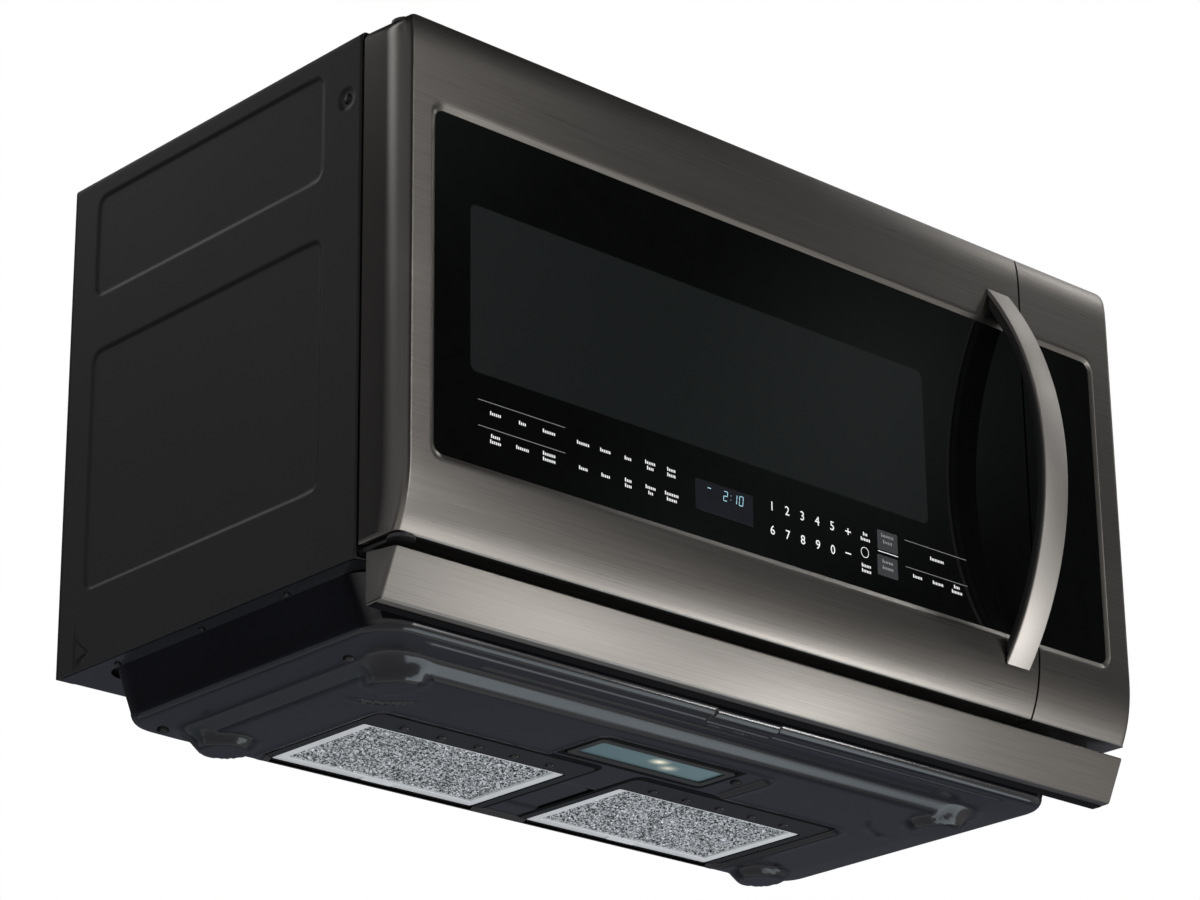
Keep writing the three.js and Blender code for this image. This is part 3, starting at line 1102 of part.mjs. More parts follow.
function chokeCover() {
  const x = [-HALF + 14, DOOR_RIGHT - 12];
  const z = [14, DOOR_HEIGHT - 14];
  const y = [CHOKE_BACK + FIT, DOOR_BACK - 0.2];
  const plate = alongY(roundedOutline(x, z, 8), y);
  const window = alongY(
    roundedOutline(grown([WINDOW_LEFT, WINDOW_RIGHT], 4), grown([WINDOW_BOTTOM, WINDOW_TOP], 4), 8),
    grown(y, DOUBLE_CUT));
  const tongue = block(
    [-HALF, HINGE_X + HINGE_TONGUE_WIDTH], grown(y, 5), [HINGE_POCKET_Z - 12, DOOR_HEIGHT]);
  return cut(plate, window, tongue, latchSlots(2));
}

function windowScreen() {
  const back = CHOKE_BACK - CHOKE_SHEET - FIT;
  return alongY(
    roundedOutline(grown([WINDOW_LEFT, WINDOW_RIGHT], 5), grown([WINDOW_BOTTOM, WINDOW_TOP], 5), 6),
    [back - 1, back], 2);
}

const BOARD_X = [-330, 200];
const DISPLAY_X = [-108, -40];

function touchBoard() {
  const y = [GLASS_BACK + FIT, GLASS_BACK + FIT + 1.6];
  const board = block(BOARD_X, y, around(DOOR_BOARD_Z, 52));
  const hole = block(grown(DISPLAY_X, PLAY), grown(y, DOUBLE_CUT), around(DOOR_BOARD_Z, 34 + 2 * PLAY));
  const chips = [-250, -180, 20, 120].map((x) => (
    block(around(x, 14), [y[1] - 0.5, y[1] + 2], around(DOOR_BOARD_Z, 14))));
  return join(cut(board, hole), chips);
}

function displayModule() {
  return block(DISPLAY_X, [GLASS_BACK + FIT, GLASS_BACK + FIT + 8], around(DOOR_BOARD_Z, 34));
}

// A curved strap standing off the door: part of a ring cut off just in front of the door's face.
function handleBand(outside, thickness, width) {
  const radius = (HANDLE_LENGTH ** 2 / 4 + HANDLE_REACH ** 2) / (2 * HANDLE_REACH);
  const centreY = DOOR_FACE - HANDLE_REACH + radius;
  const outer = radius - outside;
  const inner = outer - thickness;
  const span = around(HANDLE_CENTRE_X, width);
  const half = Math.asin(HANDLE_LENGTH / 2 / radius) * 1.12;
  const band = new THREE.Shape();
  band.absarc(centreY, HANDLE_MID_Z, outer, Math.PI - half, Math.PI + half, false);
  band.absarc(centreY, HANDLE_MID_Z, inner, Math.PI + half, Math.PI - half, true);
  const reach = HANDLE_LENGTH / 2 + 40;
  const front = block(
    grown(span, 5), [DOOR_FACE - 2 * HANDLE_REACH, DOOR_FACE - FIT],
    [HANDLE_MID_Z - reach, HANDLE_MID_Z + reach]);
  return alongX(band, span, 28).intersect(front);
}

function handleStrap() {
  return handleBand(0, HANDLE_STRAP, HANDLE_WIDTH);
}

function handleLiner() {
  return handleBand(HANDLE_STRAP + FIT, HANDLE_LINER, HANDLE_WIDTH - 2);
}

function hinge(upper) {
  const z = upper ? upperTongue() : lowerTongue();
  const arm = block([HINGE_X - HINGE_ARM_SIDE, HINGE_X + HINGE_TONGUE_NOSE], [HINGE_Y, BEHIND_FRONT + 2], z);
  const nose = alongZ(disc(HINGE_X, HINGE_Y, HINGE_TONGUE_NOSE), z, 16);
  const leg = upper ? [z[1] - HINGE_LEG_HEIGHT, z[1]] : [z[0], z[0] + HINGE_LEG_HEIGHT / 4];
  const bracket = block([-INNER + FIT, -INNER + 34], [BEHIND_FRONT, BEHIND_FRONT + 2], leg);
  const pinSpan = upper ? [z[0] - HINGE_PIN_LENGTH, z[1] - 0.5] : [z[0] + 0.5, z[1] + HINGE_PIN_LENGTH];
  const pin = alongZ(disc(HINGE_X, HINGE_Y, HINGE_PIN_RADIUS), pinSpan, 14);
  return join(arm, nose, bracket, pin);
}

// ---------------------------------------------------------------- latch
function latchLever() {
  const back = CHOKE_BACK - CHOKE_SHEET - FIT;
  const height = [LATCH_LOW_Z - 14, LATCH_LOW_Z + LATCH_SPAN + LATCH_HOOK_HEIGHT + 8];
  const bar = block(around(LATCH_X, LATCH_BAR), [back - 4, back], height);
  const hooks = [LATCH_LOW_Z, LATCH_LOW_Z + LATCH_SPAN].map((z) => {
    const tip = DOOR_BACK + LATCH_HOOK_REACH;
    return alongX(polygon([
      [back - 1, z], [tip - 6, z], [tip, z + 3], [tip - 2, z + LATCH_HOOK_HEIGHT],
      [tip - 8, z + LATCH_HOOK_HEIGHT], [tip - 8, z + 7], [back - 1, z + 7],
    ]), around(LATCH_X, LATCH_BAR - 2));
  });
  return join(bar, hooks);
}

// A coil spring between the lever's top and the choke frame's upper lip.
class Coil extends THREE.Curve {
  constructor(radius, [z0, z1], turns) {
    super();
    Object.assign(this, { radius, z0, z1, turns });
  }

  getPoint(t, target = new THREE.Vector3()) {
    const angle = 2 * Math.PI * this.turns * t;
    return target.set(
      this.radius * Math.cos(angle), this.radius * Math.sin(angle), this.z0 + (this.z1 - this.z0) * t);
  }
}

function latchSpring() {
  const path = new Coil(3.2, [SPRING_LOW_Z + 0.5, SPRING_LOW_Z + SPRING_HEIGHT - 0.5], 5);
  const wire = new THREE.ExtrudeGeometry(new THREE.Shape().absarc(0, 0, 0.5, 0, 2 * Math.PI), {
    steps: 50, curveSegments: 3, extrudePath: path, bevelEnabled: false,
  });
  wire.translate(LATCH_X, CHOKE_BACK - CHOKE_SHEET - FIT - 4.2, 0);
  return toSolid(wire);
}

function latchBoard() {
  const y = [BEHIND_FRONT, BEHIND_FRONT + 30];
  const z = [LATCH_LOW_Z - 22, LATCH_LOW_Z + LATCH_SPAN + 36];
  const x = [BAY_LEFT, LATCH_X + 16];
  const plate = block(x, [y[0], y[0] + 3], z);
  const rib = block([x[1] - 3, x[1]], y, z);
  const ledges = [LATCH_LOW_Z, LATCH_LOW_Z + LATCH_SPAN].map((low) => (
    block(x, y, [low - PLAY - 5, low - PLAY - 2])));
  return cut(join(plate, rib, ledges), latchSlots(4));
}

const SWITCH_SIZE = { width: 10, depth: 20, height: 16 };

function doorSwitch(z) {
  const left = LATCH_X + 16 + FIT;
  const { width, depth, height } = SWITCH_SIZE;
  const y0 = BEHIND_FRONT + 6;
  const body = block([left, left + width], [y0, y0 + depth], around(z, height));
  const tabs = [-5, 0, 5].map((dz) => block(
    [left + width / 2 - 0.5, left + width / 2 + 0.5], [y0 + depth - 1, y0 + depth + 7], around(z + dz, 3)));
  return join(body, tabs);
}

// ---------------------------------------------------------------- assembly
const part = new THREE.Group();

function assembly(...pieces) {
  const group = new THREE.Group();
  group.add(...pieces);
  part.add(group);
}

assembly(
  piece('outer_wrap', outerWrap(), LOOKS.satinBlack),
  piece('rear_panel', rearPanel(), LOOKS.galvanised),
  piece('front_plate', frontPlate(), LOOKS.satinBlack),
  piece('chassis_plate', chassisPlate(), LOOKS.galvanised),
  piece('base_pan', basePan(), LOOKS.glossBlack),
  piece('cord_gland', cordGland(), LOOKS.blackPlastic),
);

assembly(
  piece('oven_cavity', ovenCavity(), LOOKS.enamel),
  piece('waveguide_cover', waveguideCover(), LOOKS.mica),
  piece('waveguide', waveguide(), LOOKS.galvanised),
  piece('magnetron', magnetron(), LOOKS.aluminium),
  piece('transformer', transformer(), LOOKS.darkSteel),
  piece('capacitor', capacitor(), LOOKS.aluminium),
  piece('power_board', powerBoard(), LOOKS.circuitGreen),
  piece('fan_shroud', fanShroud(), LOOKS.blackPlastic),
  piece('fan_motor', fanMotor(), LOOKS.darkSteel),
  piece('cooling_fan', coolingFan(), LOOKS.white),
);

assembly(
  piece('turntable_motor', turntableMotor(), LOOKS.paleGrey),
  piece('drive_hub', driveHub(), LOOKS.white),
  piece('roller_ring', rollerRing(), LOOKS.white),
  piece('glass_tray', glassTray(), LOOKS.clearGlass),
  ...[0, 1, 2].map((i) => piece(`roller_${i + 1}`, roller(i), LOOKS.white)),
);

assembly(
  piece('blower_housing', blowerHousing(), LOOKS.galvanised),
  piece('blower_motor', blowerMotor(), LOOKS.darkSteel),
  piece('blower_wheel_left', blowerWheel(-1), LOOKS.blackPlastic),
  piece('blower_wheel_right', blowerWheel(1), LOOKS.blackPlastic),
  piece('damper', damper(), LOOKS.galvanised),
  piece('top_grille', topGrille(), LOOKS.blackPlastic),
  piece('charcoal_filter', charcoalFilter(), LOOKS.carbon),
);

[['left', -1], ['right', 1]].forEach(([name, side]) => assembly(
  piece(`filter_frame_${name}`, filterFrame(side), LOOKS.paleGrey),
  piece(`filter_mesh_${name}`, filterMesh(side), LOOKS.aluminium),
  piece(`vent_rail_${name}`, ventRail(side), LOOKS.galvanised),
));

assembly(
  piece('lamp_cover', lampCover(), LOOKS.blackPlastic),
  piece('lamp_glass', lampGlass(), LOOKS.lampGlass),
  piece('lamp_housing', lampHousing(), LOOKS.paleGrey),
  piece('vent_bar', ventBar(), LOOKS.blackStainless),
  piece('vent_visor', ventVisor(), LOOKS.blackPlastic),
);

assembly(
  piece('side_panel_frame', sidePanelFrame(), LOOKS.blackStainless),
  piece('side_panel_glass', glassPane([PANEL_LEFT, HALF - GLASS_STILE_RIGHT]), LOOKS.blackGlass),
  piece('hinge_upper', hinge(true), LOOKS.darkSteel),
  piece('hinge_lower', hinge(false), LOOKS.darkSteel),
  piece('latch_board', latchBoard(), LOOKS.white),
  ...[['lower', LATCH_LOW_Z + 6], ['middle', LATCH_LOW_Z + LATCH_SPAN / 2],
    ['upper', LATCH_LOW_Z + LATCH_SPAN + 6]]
    .map(([name, z]) => piece(`switch_${name}`, doorSwitch(z), LOOKS.blackPlastic)),
);

assembly(
  piece('door_skin', doorSkin(), LOOKS.blackStainless),
  piece('door_glass', glassPane([-HALF + GLASS_SIDE_MARGIN, DOOR_RIGHT]), LOOKS.blackGlass),
  piece('choke_frame', chokeFrame(), LOOKS.satinBlack),
  piece('choke_cover', chokeCover(), LOOKS.blackPlastic),
  piece('window_screen', windowScreen(), LOOKS.darkSteel),
  piece('touch_board', touchBoard(), LOOKS.circuitGreen),
  piece('display_module', displayModule(), LOOKS.blackPlastic),
  piece('handle_strap', handleStrap(), LOOKS.handleSteel),
  piece('handle_liner', handleLiner(), LOOKS.satinBlack),
  piece('latch_lever', latchLever(), LOOKS.white),
  piece('latch_spring', latchSpring(), LOOKS.springSteel),
);

export default part;
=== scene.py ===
"""Looks of the over-the-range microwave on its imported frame.

Metres, +Z up, the door faces -Y and the rear face is Y = 0. Shapes are worked out in millimetres
and scaled once, in make().
"""

import math

import bmesh
import bpy
import numpy as np
from mathutils import Matrix, Vector


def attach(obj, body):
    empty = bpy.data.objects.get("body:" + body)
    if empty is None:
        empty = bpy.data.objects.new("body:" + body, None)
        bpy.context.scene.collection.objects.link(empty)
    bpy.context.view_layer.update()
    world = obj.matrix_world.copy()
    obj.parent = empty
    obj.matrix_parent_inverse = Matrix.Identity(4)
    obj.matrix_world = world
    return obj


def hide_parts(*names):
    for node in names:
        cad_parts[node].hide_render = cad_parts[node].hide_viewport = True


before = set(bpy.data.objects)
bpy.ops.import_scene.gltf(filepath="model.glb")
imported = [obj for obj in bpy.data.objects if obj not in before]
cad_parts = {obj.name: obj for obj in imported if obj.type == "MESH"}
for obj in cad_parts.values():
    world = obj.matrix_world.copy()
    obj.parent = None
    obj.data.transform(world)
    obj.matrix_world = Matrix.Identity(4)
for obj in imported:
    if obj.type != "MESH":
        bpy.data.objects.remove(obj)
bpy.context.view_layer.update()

MM = 0.001

# ------------------------------------------------------------------ sizes, in millimetres
HALF = 379.5
CABINET_FRONT = -352.0
CABINET_TOP = 395.0
CABINET_BOTTOM = -8.0
SHEET = 1.5

DOOR_FACE = -405.0
DOOR_BACK = -355.0
DOOR_HEIGHT = 392.0
DOOR_BACK_TOP = 395.0
DOOR_SEAM = 266.5
PANEL_SEAM = 268.5
CHIN_HEIGHT = 55.0
CHIN_DEPTH = 12.0
BROW_HEIGHT = 25.0
BROW_DEPTH = 3.0

GLASS_LEFT = -354.0
GLASS_RIGHT = 351.0
GLASS_LOW = 60.0
GLASS_HIGH = 322.0
GLASS_FRONT = -403.5
GLASS_CORNER = 8.0
BEVEL = 4.0
WINDOW_X = (-321.0, 146.0)
WINDOW_Z = (130.0, 258.0)
KEY_ROWS = (102.0, 83.0)

HANDLE_X = 241.5
HANDLE_MID = 194.0
HANDLE_CENTRE_Y = -179.5
HANDLE_FOOT_Y = -405.3

BAR_SIDE = 377.0
BAR_PROFILE = ((-392.4, -9.5), (-359.5, -6.0), (-359.5, -44.8), (-376.4, -44.0))

PAN_TOP_WALL = 363.5
PAN_WALL = 351.0
PAN_FRONT = -346.0
PAN_REAR = -34.0
PAN_LIP = 9.0  # how far the rim's outer edge curls in
PAN_RIM = -46.0
PAN_FLOOR = -56.0
PAN_FIELD = -53.0
BOSS_FRONT = -275.0
BOSSES = tuple((side * 280.0, y) for side in (-1, 1) for y in (BOSS_FRONT, -78.0))
BOSS_BOTTOM = -62.0
BOSS_RADIUS = 19.5
BOSS_SPREAD = 32.5
BOSS_REACH = BOSS_SPREAD + 9.0  # farther out, a boss's cone is set clear above the pan
CLEAR_ABOVE = 20.0
FIELD = (-242.0, 242.0, -214.0, -64.0)
LAMP_FIELD = (-79.0, 101.0, -276.0, -202.0)
LAMP_HOLE = (-71.0, 71.0, -265.0, -221.0)
FILTER_X = (29.0, 227.0)
FILTER_Y = (-176.0, -65.0)

EYE = (-1.90421, -2.23801, -0.89705)
HEADING = -42.9067
PITCH = 21.7423
ROLL = -0.7247
LENS = 113.602


# ------------------------------------------------------------------ shapes as arrays of points
MERGE = 0.3  # grid lines closer than this become one, in millimetres
WELD = 0.005  # points closer than this are joined


def grid_faces(rows, cols, closed=False):
    """Quads of a grid of rows x cols points; closed joins the last column to the first."""
    last = cols if closed else cols - 1
    r, c = np.meshgrid(np.arange(rows - 1), np.arange(last), indexing="ij")
    here = r * cols + c
    right = r * cols + (c + 1) % cols
    return np.stack([here, right, right + cols, here + cols], axis=-1).reshape(-1, 4)


def rounded(x0, x1, y0, y1, radius, steps=6):
    """Outline of a rectangle whose corners are quarter circles, anticlockwise, (N, 2)."""
    left, right, low, high = x0 + radius, x1 - radius, y0 + radius, y1 - radius
    centres = np.array([(right, high), (left, high), (left, low), (right, low)])
    angle = np.linspace(0.0, math.pi / 2, steps + 1) + np.arange(4)[:, None] * math.pi / 2
    corners = centres[:, None] + radius * np.stack([np.cos(angle), np.sin(angle)], axis=-1)
    return corners.reshape(-1, 2)


def circle(steps):
    """Unit circle about the origin, (N, 2)."""
    angle = np.linspace(0.0, 2 * math.pi, steps, endpoint=False)
    return np.stack([np.cos(angle), np.sin(angle)], axis=-1)


def mirrored(side, span):
    """A span of X on the right side, or its mirror image where side is -1, low end first."""
    return sorted((side * span[0], side * span[1]))


def placed(outline, level, axis):
    """Outline in a plane at level along axis: (a, b) is (Y, Z), (X, Z) or (X, Y)."""
    a, b = outline[:, 0], outline[:, 1]
    fill = np.full_like(a, level)
    return np.stack({"x": (fill, a, b), "y": (a, fill, b), "z": (a, b, fill)}[axis], axis=-1)


def capped(ring):
    """A lid: every point of the ring joined to the ring's mean point."""
    return np.stack([ring, np.broadcast_to(ring.mean(axis=0), ring.shape)]), True


def prism(outline, span, edge, axis, steps=4):
    """Bar of constant section with edges rounded at both ends.

    outline(inset) gives the section; going in from an end by edge * (1 - cos a), the section is
    drawn in by edge * (1 - sin a), for a from 0 to a quarter turn.
    """
    angle = np.linspace(0.0, math.pi / 2, steps + 1)
    inset = edge * (1 - np.sin(angle))
    depth = edge * (1 - np.cos(angle))
    rings = [placed(outline(i), span[0] + d, axis) for i, d in zip(inset, depth)]
    rings += [placed(outline(i), span[1] - d, axis) for i, d in zip(inset[::-1], depth[::-1])]
    return [(np.stack(rings), True), capped(rings[0]), capped(rings[-1])]


def inset_box(box, corner, steps):
    """For prism(): the outline of a rounded rectangle (x0, x1, y0, y1) drawn in by an inset."""
    x0, x1, y0, y1 = box
    return lambda i: rounded(x0 + i, x1 - i, y0 + i, y1 - i, corner, steps)


def lathe(profile, centre, steps=24):
    """Surface of revolution about a vertical line: (radius, height) carried round centre."""
    return np.stack([placed(centre + r * circle(steps), z, "z") for r, z in profile]), True


def rect_distance(x, y, box, radius):
    """Signed distance to a rounded rectangle (x0, x1, y0, y1), negative inside."""
    x0, x1, y0, y1 = box
    dx = np.abs(x - (x0 + x1) / 2) - (x1 - x0) / 2 + radius
    dy = np.abs(y - (y0 + y1) / 2) - (y1 - y0) / 2 + radius
    outside = np.hypot(np.maximum(dx, 0), np.maximum(dy, 0))
    return outside + np.minimum(np.maximum(dx, dy), 0) - radius


def smooth_max(a, b, soft):
    """The larger of two, blended where their squared difference is about soft or less."""
    return (a + b + np.sqrt((a - b) ** 2 + soft)) / 2


def ramp(t, soft=0.12):
    """0 below 0, 1 above 1 and straight between, with creases rounded over soft."""
    return smooth_max(t, 0.0, soft * soft) - smooth_max(t - 1, 0.0, soft * soft)


def lines_between(low, high, step, exact=(), fine=(), fine_step=0.8, reach=5.0):
    """Sorted grid coordinates: every step, the exact values, and closer ones near fine values."""
    fixed = np.array([*exact, low, high], dtype=float)
    sets = [np.arange(low, high + step / 2, step), fixed]
    sets += [np.arange(f - reach, f + reach + 0.01, fine_step) for f in fine]
    values = np.unique(np.round(np.concatenate(sets), 3))
    values = values[(values >= low) & (values <= high)]
    keep = np.concatenate([[True], np.diff(values) > MERGE])
    pinned = np.isin(values, np.round(fixed, 3))
    beside = np.isin(np.arange(len(values)), np.flatnonzero(pinned)[:, None] + np.array([-1, 1]))
    close = np.minimum(np.diff(values, prepend=-1e9), np.diff(values, append=1e9)) < MERGE
    return values[pinned | (keep & ~(beside & close))]


def edges(boxes, axis):
    """The edges of rectangles (x0, x1, y0, y1) along the first axis, 0, or the second, 1."""
    return [v for box in boxes for v in box[2 * axis:2 * axis + 2]]


def in_boxes(x, y, boxes):
    """Whether each point lies inside any of the rectangles (x0, x1, y0, y1)."""
    return np.any([(x > x0) & (x < x1) & (y > y0) & (y < y1) for x0, x1, y0, y1 in boxes], axis=0)


def add_object(name, data):
    """Links a new object that holds data to the scene."""
    obj = bpy.data.objects.new(name, data)
    bpy.context.scene.collection.objects.link(obj)
    return obj


def make(name, patches, body, look, nodes=(), wall=0.0, towards=None, sharp=35):
    """One piece from patches, each (points in mm, closed, keep), joined where their edges meet.

    wall thickens it away from the side it faces; towards is the way that side mostly looks.
    """
    verts, faces, start = [], [], 0
    for points, closed, *keep in patches:
        quads = grid_faces(points.shape[0], points.shape[1], closed)
        if keep:
            quads = quads[keep[0].reshape(-1)]
        verts.append(points.reshape(-1, 3) * MM)
        faces.append(quads + start)
        start += points.shape[0] * points.shape[1]
    mesh = bpy.data.meshes.new(name)
    mesh.from_pydata(np.concatenate(verts).tolist(), [], np.concatenate(faces).tolist())
    bm = bmesh.new()
    bm.from_mesh(mesh)
    bmesh.ops.remove_doubles(bm, verts=bm.verts, dist=WELD * MM)
    bmesh.ops.recalc_face_normals(bm, faces=bm.faces)
    if towards is not None:
        total = sum((f.normal * f.calc_area() for f in bm.faces), Vector())
        if total.dot(Vector(towards)) < 0:
            bmesh.ops.reverse_faces(bm, faces=bm.faces)
    loose = [v for v in bm.verts if not v.link_faces]
    bmesh.ops.delete(bm, geom=loose, context="VERTS")
    bm.to_mesh(mesh)
    bm.free()
    mesh.shade_smooth()
    mesh.set_sharp_from_angle(angle=math.radians(sharp))
    mesh.materials.append(look)
    obj = add_object(name, mesh)
    if wall:
        solid = obj.modifiers.new("wall", "SOLIDIFY")
        solid.thickness = wall * MM
        solid.offset = -1
    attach(obj, body)
    if nodes:
        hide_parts(*nodes)


# ------------------------------------------------------------------ shaders and materials
class Nodes:
    """Short calls for adding and joining the nodes of one tree."""

    def __init__(self, tree):
        """Every later call adds to tree."""
        self.tree = tree

    def add(self, kind, inputs=None, **settings):
        """A node of a kind, with its properties in settings and its inputs fed."""
        node = self.tree.nodes.new(kind)
        for key, value in settings.items():
            setattr(node, key, value)
        self.feed(node, inputs or {})
        return node

    def feed(self, node, inputs):
        """Each input, by name or place, is joined to a socket or set to a plain value."""
        for key, value in inputs.items():
            if isinstance(value, bpy.types.NodeSocket):
                self.tree.links.new(value, node.inputs[key])
            else:
                node.inputs[key].default_value = value

    def math(self, operation, a, b=0.0, c=0.0, clamp=False):
        """Result of one scalar operation."""
        node = self.add("ShaderNodeMath", {0: a, 1: b, 2: c}, operation=operation, use_clamp=clamp)
        return node.outputs[0]

    def vector(self, operation, a, b=(0.0, 0.0, 0.0), result=0):
        """Result of one vector operation; the length is the result called Value."""
        return self.add("ShaderNodeVectorMath", {0: a, 1: b}, operation=operation).outputs[result]

    def mix(self, factor, a, b):
        """Colour between a and b, each a socket, (red, green, blue) or the value of a grey."""
        a, b = ((c, c, c) if isinstance(c, float) else c for c in (a, b))
        a, b = ((*c, 1.0) if isinstance(c, tuple) else c for c in (a, b))
        return self.add("ShaderNodeMix", {0: factor, 6: a, 7: b}, data_type="RGBA").outputs[2]

    def where(self):
        """Object coordinates, in metres."""
        return self.add("ShaderNodeTexCoord").outputs["Object"]

    def noise(self, where, scale, detail, roughness=0.5):
        """Noise from 0 to 1 over the coordinates where."""
        return self.add("ShaderNodeTexNoise", {"Vector": where, "Scale": scale, "Detail": detail,
                                               "Roughness": roughness}).outputs[0]

    def bump(self, height, strength, distance):
        """Normal of a surface raised by height."""
        return self.add("ShaderNodeBump", {"Height": height, "Strength": strength,
                                           "Distance": distance}).outputs[0]


def effect(name, defaults, fill):
    """A shader group: defaults names its float inputs, and fill(n, given) returns its outputs."""
    tree = bpy.data.node_groups.new(name, "ShaderNodeTree")
    for label, value in defaults.items():
        socket = tree.interface.new_socket(label, in_out="INPUT", socket_type="NodeSocketFloat")
        socket.default_value = value
    n = Nodes(tree)
    results = fill(n, n.add("NodeGroupInput").outputs)
    for label, socket in results.items():
        kind = "NodeSocketVector" if socket.type == "VECTOR" else "NodeSocketFloat"
        tree.interface.new_socket(label, in_out="OUTPUT", socket_type=kind)
    n.add("NodeGroupOutput", results)
    return tree


def brushed_fill(n, given):
    """Streaks: noise stretched by Along on X and Across on Y and Z, and a broad uneven tone."""
    where = n.where()
    across = given["Across"]
    stretch = n.add("ShaderNodeCombineXYZ", {0: given["Along"], 1: across, 2: across})
    fine = n.noise(n.vector("MULTIPLY", where, stretch.outputs[0]), 1.0, 5.0, 0.65)
    broad = n.noise(n.vector("MULTIPLY", where, (2.2, 9.0, 9.0)), 1.0, 2.0)
    return {"Streak": fine, "Tone": broad, "Normal": n.bump(fine, given["Depth"], 0.0002)}


def paint_fill(n, given):
    """Fine orange peel of a painted or moulded skin, with slow cloudy variation."""
    where = n.where()
    peel = n.noise(where, given["Grain"], 3.0)
    return {"Cloud": n.noise(where, 9.0, 3.0), "Normal": n.bump(peel, given["Depth"], 0.0004)}


def crystal_fill(n, given):
    """Flat zinc crystals: cells of a Voronoi texture, each with its own brightness."""
    cells = n.add("ShaderNodeTexVoronoi", {"Vector": n.where(), "Scale": given["Size"]})
    return {"Cell": n.add("ShaderNodeSeparateColor", {0: cells.outputs["Color"]}).outputs[0]}


BRUSHED = effect("brushed_grain", {"Along": 11.0, "Across": 1700.0, "Depth": 0.04}, brushed_fill)
PAINT = effect("painted_skin", {"Grain": 900.0, "Depth": 0.1}, paint_fill)
CRYSTALS = effect("zinc_crystals", {"Size": 130.0}, crystal_fill)
FAR = 100.0  # metres, beyond anything here


def material(name):
    """An empty node material, its helper and its Principled shader."""
    mat = bpy.data.materials.new(name)
    mat.use_nodes = True
    mat.node_tree.nodes.clear()
    n = Nodes(mat.node_tree)
    shader = n.add("ShaderNodeBsdfPrincipled")
    n.add("ShaderNodeOutputMaterial", {0: shader.outputs[0]})
    return mat, n, shader


def grouped(n, tree, **values):
    """Outputs of an effect group placed in a material with its own values."""
    return n.add("ShaderNodeGroup", values, node_tree=tree).outputs


def brushed(name, dark, light, roughness, along=11.0, across=1700.0, turned=0.6):
    """Brushed steel with its grain along X; a quarter turn spreads reflections across the grain."""
    mat, n, shader = material(name)
    grain = grouped(n, BRUSHED, Along=along, Across=across, Depth=0.04)
    mottled = n.math("MULTIPLY_ADD", grain["Tone"], 0.35, n.math("MULTIPLY", grain["Streak"], 0.65))
    shift = n.math("MULTIPLY_ADD", mottled, 1.7, -0.35, clamp=True)
    direction = n.add("ShaderNodeCombineXYZ", {0: 1.0, 1: 0.03})
    tangent = n.add("ShaderNodeVectorTransform", {0: direction.outputs[0]}, vector_type="VECTOR",
                    convert_from="OBJECT", convert_to="WORLD")
    n.feed(shader, {
        "Base Color": n.mix(shift, dark, light), "Metallic": 1.0, "Normal": grain["Normal"],
        "Roughness": n.math("MULTIPLY_ADD", grain["Streak"], 0.08, roughness - 0.04),
        "Anisotropic": turned, "Anisotropic Rotation": 0.25, "Tangent": tangent.outputs[0]})
    return mat


def painted(name, dark, light, roughness, grain=900.0, depth=0.1, metallic=0.0, coat=0.0,
            specular=0.5):
    """Painted, enamelled or moulded skin: two close tones, uneven gloss and a fine peel."""
    mat, n, shader = material(name)
    skin = grouped(n, PAINT, Grain=grain, Depth=depth)
    cloud = n.math("MULTIPLY_ADD", skin["Cloud"], 2.0, -0.5, clamp=True)
    n.feed(shader, {
        "Base Color": n.mix(cloud, dark, light), "Metallic": metallic, "Normal": skin["Normal"],
        "Roughness": n.math("MULTIPLY_ADD", skin["Cloud"], 0.12, roughness - 0.06),
        "Specular IOR Level": specular, "Coat Weight": coat, "Coat Roughness": 0.12})
    return mat


def zinc(name, dark, light, roughness):
    """Zinc-coated sheet with its frozen crystals."""
    mat, n, shader = material(name)
    cell = grouped(n, CRYSTALS, Size=130.0)["Cell"]
    n.feed(shader, {"Base Color": n.mix(cell, dark, light), "Metallic": 0.9,
                    "Roughness": n.math("MULTIPLY_ADD", cell, 0.15, roughness - 0.07)})
    return mat


def inside_box(n, centre, half, radius, soft):
    """1 inside a rounded rectangle in X and Z, 0 outside, blurred over soft; all in metres."""
    away = n.vector("ABSOLUTE", n.vector("SUBTRACT", n.where(), (centre[0], 0.0, centre[1])))
    past = n.vector("SUBTRACT", away, (half[0] - radius, FAR, half[1] - radius))
    corner = n.vector("LENGTH", n.vector("MAXIMUM", past), result="Value")
    return n.math("MULTIPLY_ADD", n.math("SUBTRACT", corner, radius), -1.0 / soft, 0.5, clamp=True)


def window_glass(name):
    """Black printed glass with a smoked window that shows the screen faintly behind it."""
    mat, n, shader = material(name)
    (left, right), (low, high) = WINDOW_X, WINDOW_Z
    centre = ((left + right) / 2 * MM, (low + high) / 2 * MM)
    half = ((right - left) / 2 * MM, (high - low) / 2 * MM)
    window = inside_box(n, centre, half, WINDOW_CORNER * MM, WINDOW_BLUR * MM)
    where = n.where()
    screen = n.mix(n.noise(where, 3.0, 1.0), (0.0055, 0.008, 0.0074), (0.0135, 0.0158, 0.0152))
    haze = n.noise(where, 60.0, 4.0)
    n.feed(shader, {
        "Base Color": n.mix(window, n.mix(haze, *BLACK_PRINT), screen), "IOR": 1.5,
        "Roughness": n.math("MULTIPLY_ADD", window, 0.10, n.math("MULTIPLY", haze, 0.04))})
    return mat


def plain_glass(name, dark, light, scale=60.0, detail=4.0, matte=0.05, clear=0.0):
    """Glass with a trace of haze: printed dark, or clear where it transmits light."""
    mat, n, shader = material(name)
    haze = n.noise(n.where(), scale, detail)
    n.feed(shader, {"Base Color": n.mix(haze, dark, light), "IOR": 1.5,
                    "Roughness": n.math("MULTIPLY", haze, matte), "Transmission Weight": clear})
    return mat


